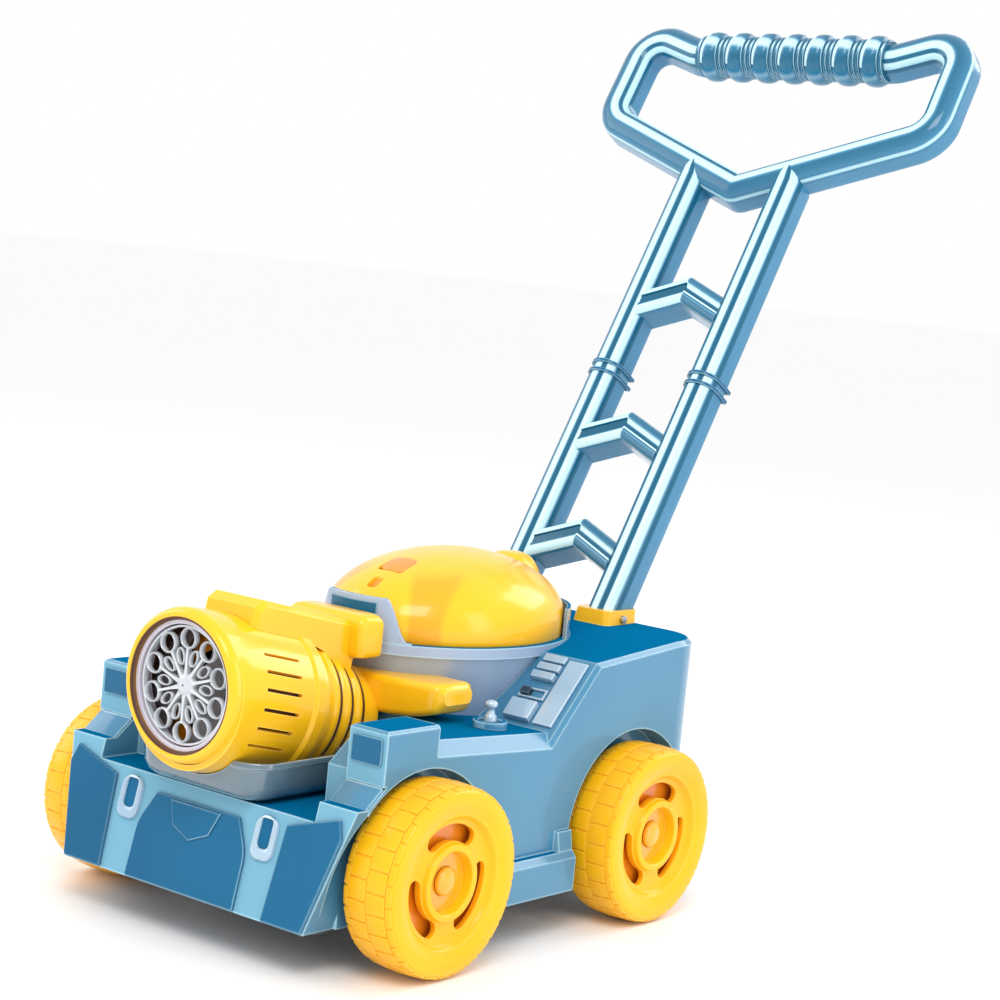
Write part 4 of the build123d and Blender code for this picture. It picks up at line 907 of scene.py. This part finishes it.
POLE_HALF, POLE_DEPTH = 0.01055, 0.0225
POLE_FOOT, POLE_JOINT, POLE_END = 0.012, 0.1932, 0.343
for side_name, side in (("left", -1), ("right", 1)):
    section, bands = tube_section(POLE_HALF, POLE_DEPTH)
    for part, start, end in (("lower", POLE_FOOT, POLE_JOINT), ("upper", POLE_JOINT, POLE_END)):
        stations = []
        for i in range(13):
            t = start + (end - start) * i / 12
            stations.append([on_handle(side * POLE_X + a, t, -d) for a, d in section])
        if part == "upper":
            for t, scale, deep in ((0.3480, 0.86, 0.0), (0.3525, 0.58, 0.0004), (0.3555, 0.22, 0.0012)):
                stations.append([on_handle(side * POLE_X + a * scale, t, 0.0006 - deep - d * 0.9) for a,
                    d in section])
        name = part + "_pole_" + side_name
        tube = band_sweep("tube_" + name, stations, bands)
        finish_piece(tube, TUBE, "mower", 50)
        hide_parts(name)


def rounded_path(corners, steps=9):
    """A closed path through (x, t, radius) corners, each turned on an arc."""
    path = []
    count = len(corners)
    for i in range(count):
        x, t, radius = corners[i]
        before, after = corners[i - 1], corners[(i + 1) % count]
        first = Vector((before[0] - x, before[1] - t)).normalized()
        second = Vector((after[0] - x, after[1] - t)).normalized()
        half = math.acos(max(-1.0, min(1.0, first.dot(second)))) / 2
        reach = radius / math.tan(half)
        a = Vector((x, t)) + first * reach
        b = Vector((x, t)) + second * reach
        bisector = (first + second).normalized()
        middle = Vector((x, t)) + bisector * (radius / math.sin(half))
        start = math.atan2(a.y - middle.y, a.x - middle.x)
        turn = math.atan2(b.y - middle.y, b.x - middle.x) - start
        turn = (turn + math.pi) % (2 * math.pi) - math.pi
        for k in range(steps + 1):
            angle = start + turn * k / steps
            path.append(Vector((middle.x + radius * math.cos(angle), middle.y + radius * math.sin(angle))))
    return path


HEAD = (
    (0.0, 0.337, 0.003), (0.1232, 0.3868, 0.020), (0.1226, 0.4605, 0.018), (0.0750, 0.4435, 0.020),
    (-0.0750, 0.4435, 0.020), (-0.1226, 0.4605, 0.018), (-0.1232, 0.3868, 0.020),
)
head_path = rounded_path(HEAD)
section, bands = tube_section(0.0106, 0.0220)
stations = []
for i, here in enumerate(head_path):
    before, after = head_path[i - 1], head_path[(i + 1) % len(head_path)]
    first = (here - before).normalized()
    second = (after - here).normalized()
    tangent = (first + second).normalized()
    outward = Vector((tangent.y, -tangent.x))
    spread = 1.0 / max(0.6, math.sqrt((1 + first.dot(second)) / 2))
    ring = []
    for a, d in section:
        ring.append(on_handle(here.x + outward.x * a * spread, here.y + outward.y * a * spread, -d))
    stations.append(ring)
head = band_sweep("handle_head", stations, bands, closed=True)
finish_piece(head, HEAD_TUBE, "mower", 50)
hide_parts("head_v_left", "head_v_right", "head_side_left", "head_side_right", "head_top_bar")

# chevron rungs: flat-topped bars bent at the middle, their ends run into the poles
for name, apex in (("front_rung", 0.079), ("middle_rung", 0.1555), ("upper_rung", 0.256)):
    half, depth, nose = 0.0100, 0.0210, 0.0045
    outline = [(half, depth)]
    outline += [(half, 0.012), (half, nose + 0.001)]
    for step in range(9):
        angle = math.pi / 2 * step / 8
        outline.append((half - nose + nose * math.cos(angle), 0.001 + nose - nose * math.sin(angle)))
    outline += [(0.0040, 0.0010), (0.0036, 0.0018), (-0.0010, 0.0018), (-0.0014, 0.0010)]
    for step in range(9):
        angle = math.pi / 2 * step / 8
        outline.append((-half + nose - nose * math.sin(angle), 0.001 + nose - nose * math.cos(angle)))
    outline += [(-half, 0.012), (-half, depth)]
    # band values for the painted reflections: the left half painted with highlights, the right half painted
    # darker as shade
    lit_half_bands = [0.9] * 3 + [0.57] * 3 + [0.37] * 6 + [0.44] * 4 + [0.37] * 6 + [0.9] * 5
    shaded_half_bands = [0.9] * 3 + [0.57] * 4 + [0.21] * 5 + [0.37] * 2 + [0.44] * 2 + [0.21] * 6 + [0.57] * 3 + [0.9] * 2
    stations = []
    for x in (-0.0300, -0.0200, -0.0100, -0.0006, 0.0006, 0.0100, 0.0200, 0.0300):
        drop = 0.43 * abs(x)
        stations.append([on_handle(x, apex + h - drop, -d) for h, d in outline])
    rows = [lit_half_bands] * 4 + [shaded_half_bands] * 4
    rung = band_sweep("bar_" + name, stations, rows)
    finish_piece(rung, TUBE, "mower", 40)
    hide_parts(name)

# hand grip: seven full ribs with a bead between each pair
GRIP_LOW, GRIP_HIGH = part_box("hand_grip")
grip_centre = on_handle(0.0, 0.4435, -0.011)
pitch = (GRIP_HIGH.x - GRIP_LOW.x) / 7
profile = []
for i in range(7):
    left = GRIP_LOW.x + pitch * i
    # flag 1: painted shade in the necks between ribs and beads; flag 2: painted highlight on the left flank
    # of a rib
    for part, radius, dark in (
        (0.00, 0.0130, 1), (0.03, 0.0130, 1), (0.06, 0.0139, 0), (0.09, 0.0142, 0),
        (0.12, 0.0139, 0), (0.15, 0.0130, 1), (0.19, 0.0128, 1), (0.22, 0.0142, 0),
        (0.27, 0.0154, 2), (0.35, 0.0163, 2), (0.45, 0.0166, 0), (0.55, 0.0166, 0),
        (0.65, 0.0163, 0), (0.73, 0.0154, 0), (0.78, 0.0142, 0), (0.81, 0.0128, 1),
        (0.85, 0.0130, 1), (0.88, 0.0139, 0), (0.91, 0.0142, 0), (0.94, 0.0139, 0),
        (0.97, 0.0130, 1),
    ):
        profile.append((left + pitch * part, radius, dark))
profile.append((GRIP_HIGH.x, 0.0130, 1))
profile = [(GRIP_LOW.x, 0.0110, 1)] + profile + [(GRIP_HIGH.x, 0.0110, 1)]
segments = 72
stations, rows = [], []
for x, radius, dark in profile:
    ring = []
    for k in range(segments):
        angle = 2 * math.pi * k / segments
        lean = 0.18 * math.cos(angle) * (radius - 0.0128) * (1 - abs(x) / 0.073)
        ring.append(grip_centre + Vector((x + lean, 0,
            0)) + (ALONG * math.cos(angle) + FACING * math.sin(angle)) * radius)
    stations.append(ring)
    # painted shade on neck rows, painted highlight on the left flank of each rib
    if dark == 1:
        rows.append([0.12] * segments)
    elif dark == 2:
        rows.append([0.23 if 0.10 < k / segments < 0.40 else k / segments for k in range(segments)])
    else:
        rows.append([k / segments for k in range(segments)])
grip = band_sweep("ribbed_grip", stations, rows)
finish_piece(grip, RIBBED, "mower", 40)
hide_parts("hand_grip")

# ------------------------------------------------------------ bubble drum
mouth = lathe(
    "drum_mouth",
    [
        (0.0004, 0.0350), (0.0, 0.0356), (0.0, 0.0372), (0.0005, 0.0381), (0.0016, 0.0390),
        (0.0034, 0.0397), (0.0050, 0.0400), (0.0050, 0.0335), (0.0026, 0.0336), (0.0014, 0.0342),
    ],
    DRUM_POINT, Y_AXIS, 128
)
finish_piece(mouth, YELLOW, "mower", 40)
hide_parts("drum_ring")
# dark ring under the mouth's lip: painted shade
shadow_line = lathe(
    "drum_lip_shade", [
        (0.0012, 0.0342), (0.0008, 0.0349), (0.0002, 0.0352), (0.0002, 0.0346), (0.0006, 0.0341),
        (0.0026, 0.0333),
    ],
    DRUM_POINT, Y_AXIS, 128
)
finish_piece(shadow_line, SHADE_BROWN, "mower", 40)
# dark sheet lining the inside of the barrel: painted shade
liner = lathe(
    "drum_shade_liner", [
        (0.0150, 0.0381), (0.0580, 0.0383), (0.0580, 0.0379), (0.0150, 0.0377),
    ], DRUM_POINT, BACK, 96
)
finish_piece(liner, SHADE_BROWN, "mower", 40)
backplate = lathe("drum_back", [
    (0.0300, 0.0375), (0.0304, 0.0375), (0.0304, 0.0240), (0.0300, 0.0240),
], DRUM_POINT, BACK, 96)
finish_piece(backplate, AMBER, "mower", 40)

WAND_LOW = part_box("bubble_wheel")[0]
wand_centre = Vector((0, WAND_LOW.y + 0.0020, DRUM_Z))
LOOPS = 10


def wand_point(radius, angle):
    """A point in the middle plane of the bubble wheel."""
    return wand_centre + Vector((radius * math.cos(angle), 0.0, radius * math.sin(angle)))


def ring_tube(middle, along, beside, long_r, short_r, thick, deep, steps=28):
    """A flattened ring: an oval loop with a rounded section."""
    stations = []
    for i in range(steps):
        angle = 2 * math.pi * i / steps
        direction = (along * math.cos(angle) * short_r + beside * math.sin(angle) * long_r).normalized()
        centre = middle + along * math.cos(angle) * long_r + beside * math.sin(angle) * short_r
        ring = []
        for k in range(8):
            turn = 2 * math.pi * k / 8
            ring.append(centre + direction * thick * math.cos(turn) + Vector((0, deep * math.sin(turn), 0)))
        stations.append(ring)
    return sweep("ring", stations, closed=True)


wand_parts = []
for i in range(LOOPS):
    angle = 2 * math.pi * (i + 0.5) / LOOPS
    along = Vector((math.cos(angle), 0, math.sin(angle)))
    beside = Vector((-math.sin(angle), 0, math.cos(angle)))
    wand_parts.append(ring_tube(wand_point(0.0242, angle), along, beside, 0.0050, 0.0050, 0.0007, 0.0020))
    spoke = []
    for radius, wide in ((0.0050, 0.0011), (0.0100, 0.0007), (0.0194, 0.0006)):
        middle = wand_point(radius, angle)
        spoke.append([middle + beside * wide + Vector((0, -0.0014, 0)),
            middle - beside * wide + Vector((0, -0.0014, 0)),
                      middle - beside * wide + Vector((0, 0.0014, 0)),
                      middle + beside * wide + Vector((0, 0.0014, 0))])
    wand_parts.append(sweep("spoke", spoke))
    between = angle + math.pi / LOOPS
    along = Vector((math.cos(between), 0, math.sin(between)))
    beside = Vector((-math.sin(between), 0, math.cos(between)))
    wand_parts.append(ring_tube(wand_point(0.0150, between), along, beside, 0.0042, 0.0024, 0.0005,
        0.0016, 20))
wand_parts.append(lathe(
    "hub", [
        (-0.0026, 0.0008), (-0.0024, 0.0030), (-0.0016, 0.0050), (-0.0004, 0.0060),
        (0.0018, 0.0060), (0.0018, 0.0008),
    ],
    wand_centre, Y_AXIS, 40
))
wand_parts.append(lathe(
    "rim", [
        (-0.0014, 0.0296), (-0.0016, 0.0301), (-0.0014, 0.0306), (0.0016, 0.0306), (0.0016, 0.0294),
        (-0.0004, 0.0294),
    ],
    wand_centre, Y_AXIS, 96
))
wand_parts.append(lathe(
    "shaft", [(0.0, 0.0004), (0.0, 0.0020), (0.0280, 0.0020), (0.0280, 0.0004)], wand_centre, Y_AXIS, 24
))
wand = join("bubble_loops", wand_parts)
finish_piece(wand, WHITE, "bubble_wheel", 45)
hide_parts("bubble_wheel")

# ------------------------------------------------------------ camera, floor and light
AZIMUTH, ELEVATION, ROLL = math.radians(37.696), math.radians(5.676), math.radians(5.631)
CAMERA_AIM = Vector((0.015924, -0.0426, 0.226545))
CAMERA_DISTANCE = 1.351
SENSOR_MM, LENS_MM = 36.0, 84.888
right = Vector((math.cos(AZIMUTH), math.sin(AZIMUTH), 0.0))
back = Vector((
    math.sin(AZIMUTH) * math.cos(ELEVATION), -math.cos(AZIMUTH) * math.cos(ELEVATION), math.sin(ELEVATION)
))
up = back.cross(right)
view_right = right * math.cos(ROLL) + up * math.sin(ROLL)
view_up = up * math.cos(ROLL) - right * math.sin(ROLL)
place = CAMERA_AIM + back * CAMERA_DISTANCE
camera_data = bpy.data.cameras.new("camera")
camera = bpy.data.objects.new("camera", camera_data)
bpy.context.scene.collection.objects.link(camera)
camera_data.sensor_width = SENSOR_MM
camera_data.lens = LENS_MM
turned = Matrix((view_right, view_up, back)).transposed().to_4x4()
camera.matrix_world = Matrix.Translation(place) @ turned
bpy.context.scene.camera = camera


def area_light(name, where, aim, size, power, size_y=None):
    """A white area light turned towards a point."""
    data = bpy.data.lights.new(name, "AREA")
    data.energy = power
    data.size = size
    if size_y:
        data.shape = "RECTANGLE"
        data.size_y = size_y
    lamp = bpy.data.objects.new(name, data)
    bpy.context.scene.collection.objects.link(lamp)
    lamp.location = where
    lamp.rotation_euler = (Vector(aim) - Vector(where)).to_track_quat("-Z", "Y").to_euler()


for row in (
    ("key", (0.9, -1.3, 1.9), (0, 0, 0.2), 1.0, 20.0), ("fill", (-1.5, -0.7, 0.9), (0, 0, 0.2), 1.2, 8.0),
    ("rim", (0.5, 1.6, 1.3), (0, 0, 0.25), 1.0, 10.0),
    ("side", (1.8, 0.2, 0.6), (0, 0, 0.2), 0.5, 6.0, 1.6),
):
    area_light(*row)
world = bpy.data.worlds.new("studio")
bpy.context.scene.world = world
world.use_nodes = True
background = world.node_tree.nodes["Background"]
background.inputs["Color"].default_value = (1.0, 1.0, 1.0, 1)
background.inputs["Strength"].default_value = 1.0
bpy.context.scene.view_settings.view_transform = "Standard"

FLOOR_SIZE, FLOOR_DROP = 40.0, 0.0002       # the floor lies a hair below the wheels
bm = bmesh.new()
bmesh.ops.create_grid(bm, x_segments=2, y_segments=2, size=FLOOR_SIZE)
floor = from_bmesh(bm, "floor")
floor_mat = bpy.data.materials.new("floor")
floor_mat.use_nodes = True
floor_shader = floor_mat.node_tree.nodes["Principled BSDF"]
floor_shader.inputs["Base Color"].default_value = (0.96, 0.96, 0.965, 1)
floor_shader.inputs["Roughness"].default_value = 0.5
floor.data.materials.append(floor_mat)
floor.location.z = -FLOOR_DROP
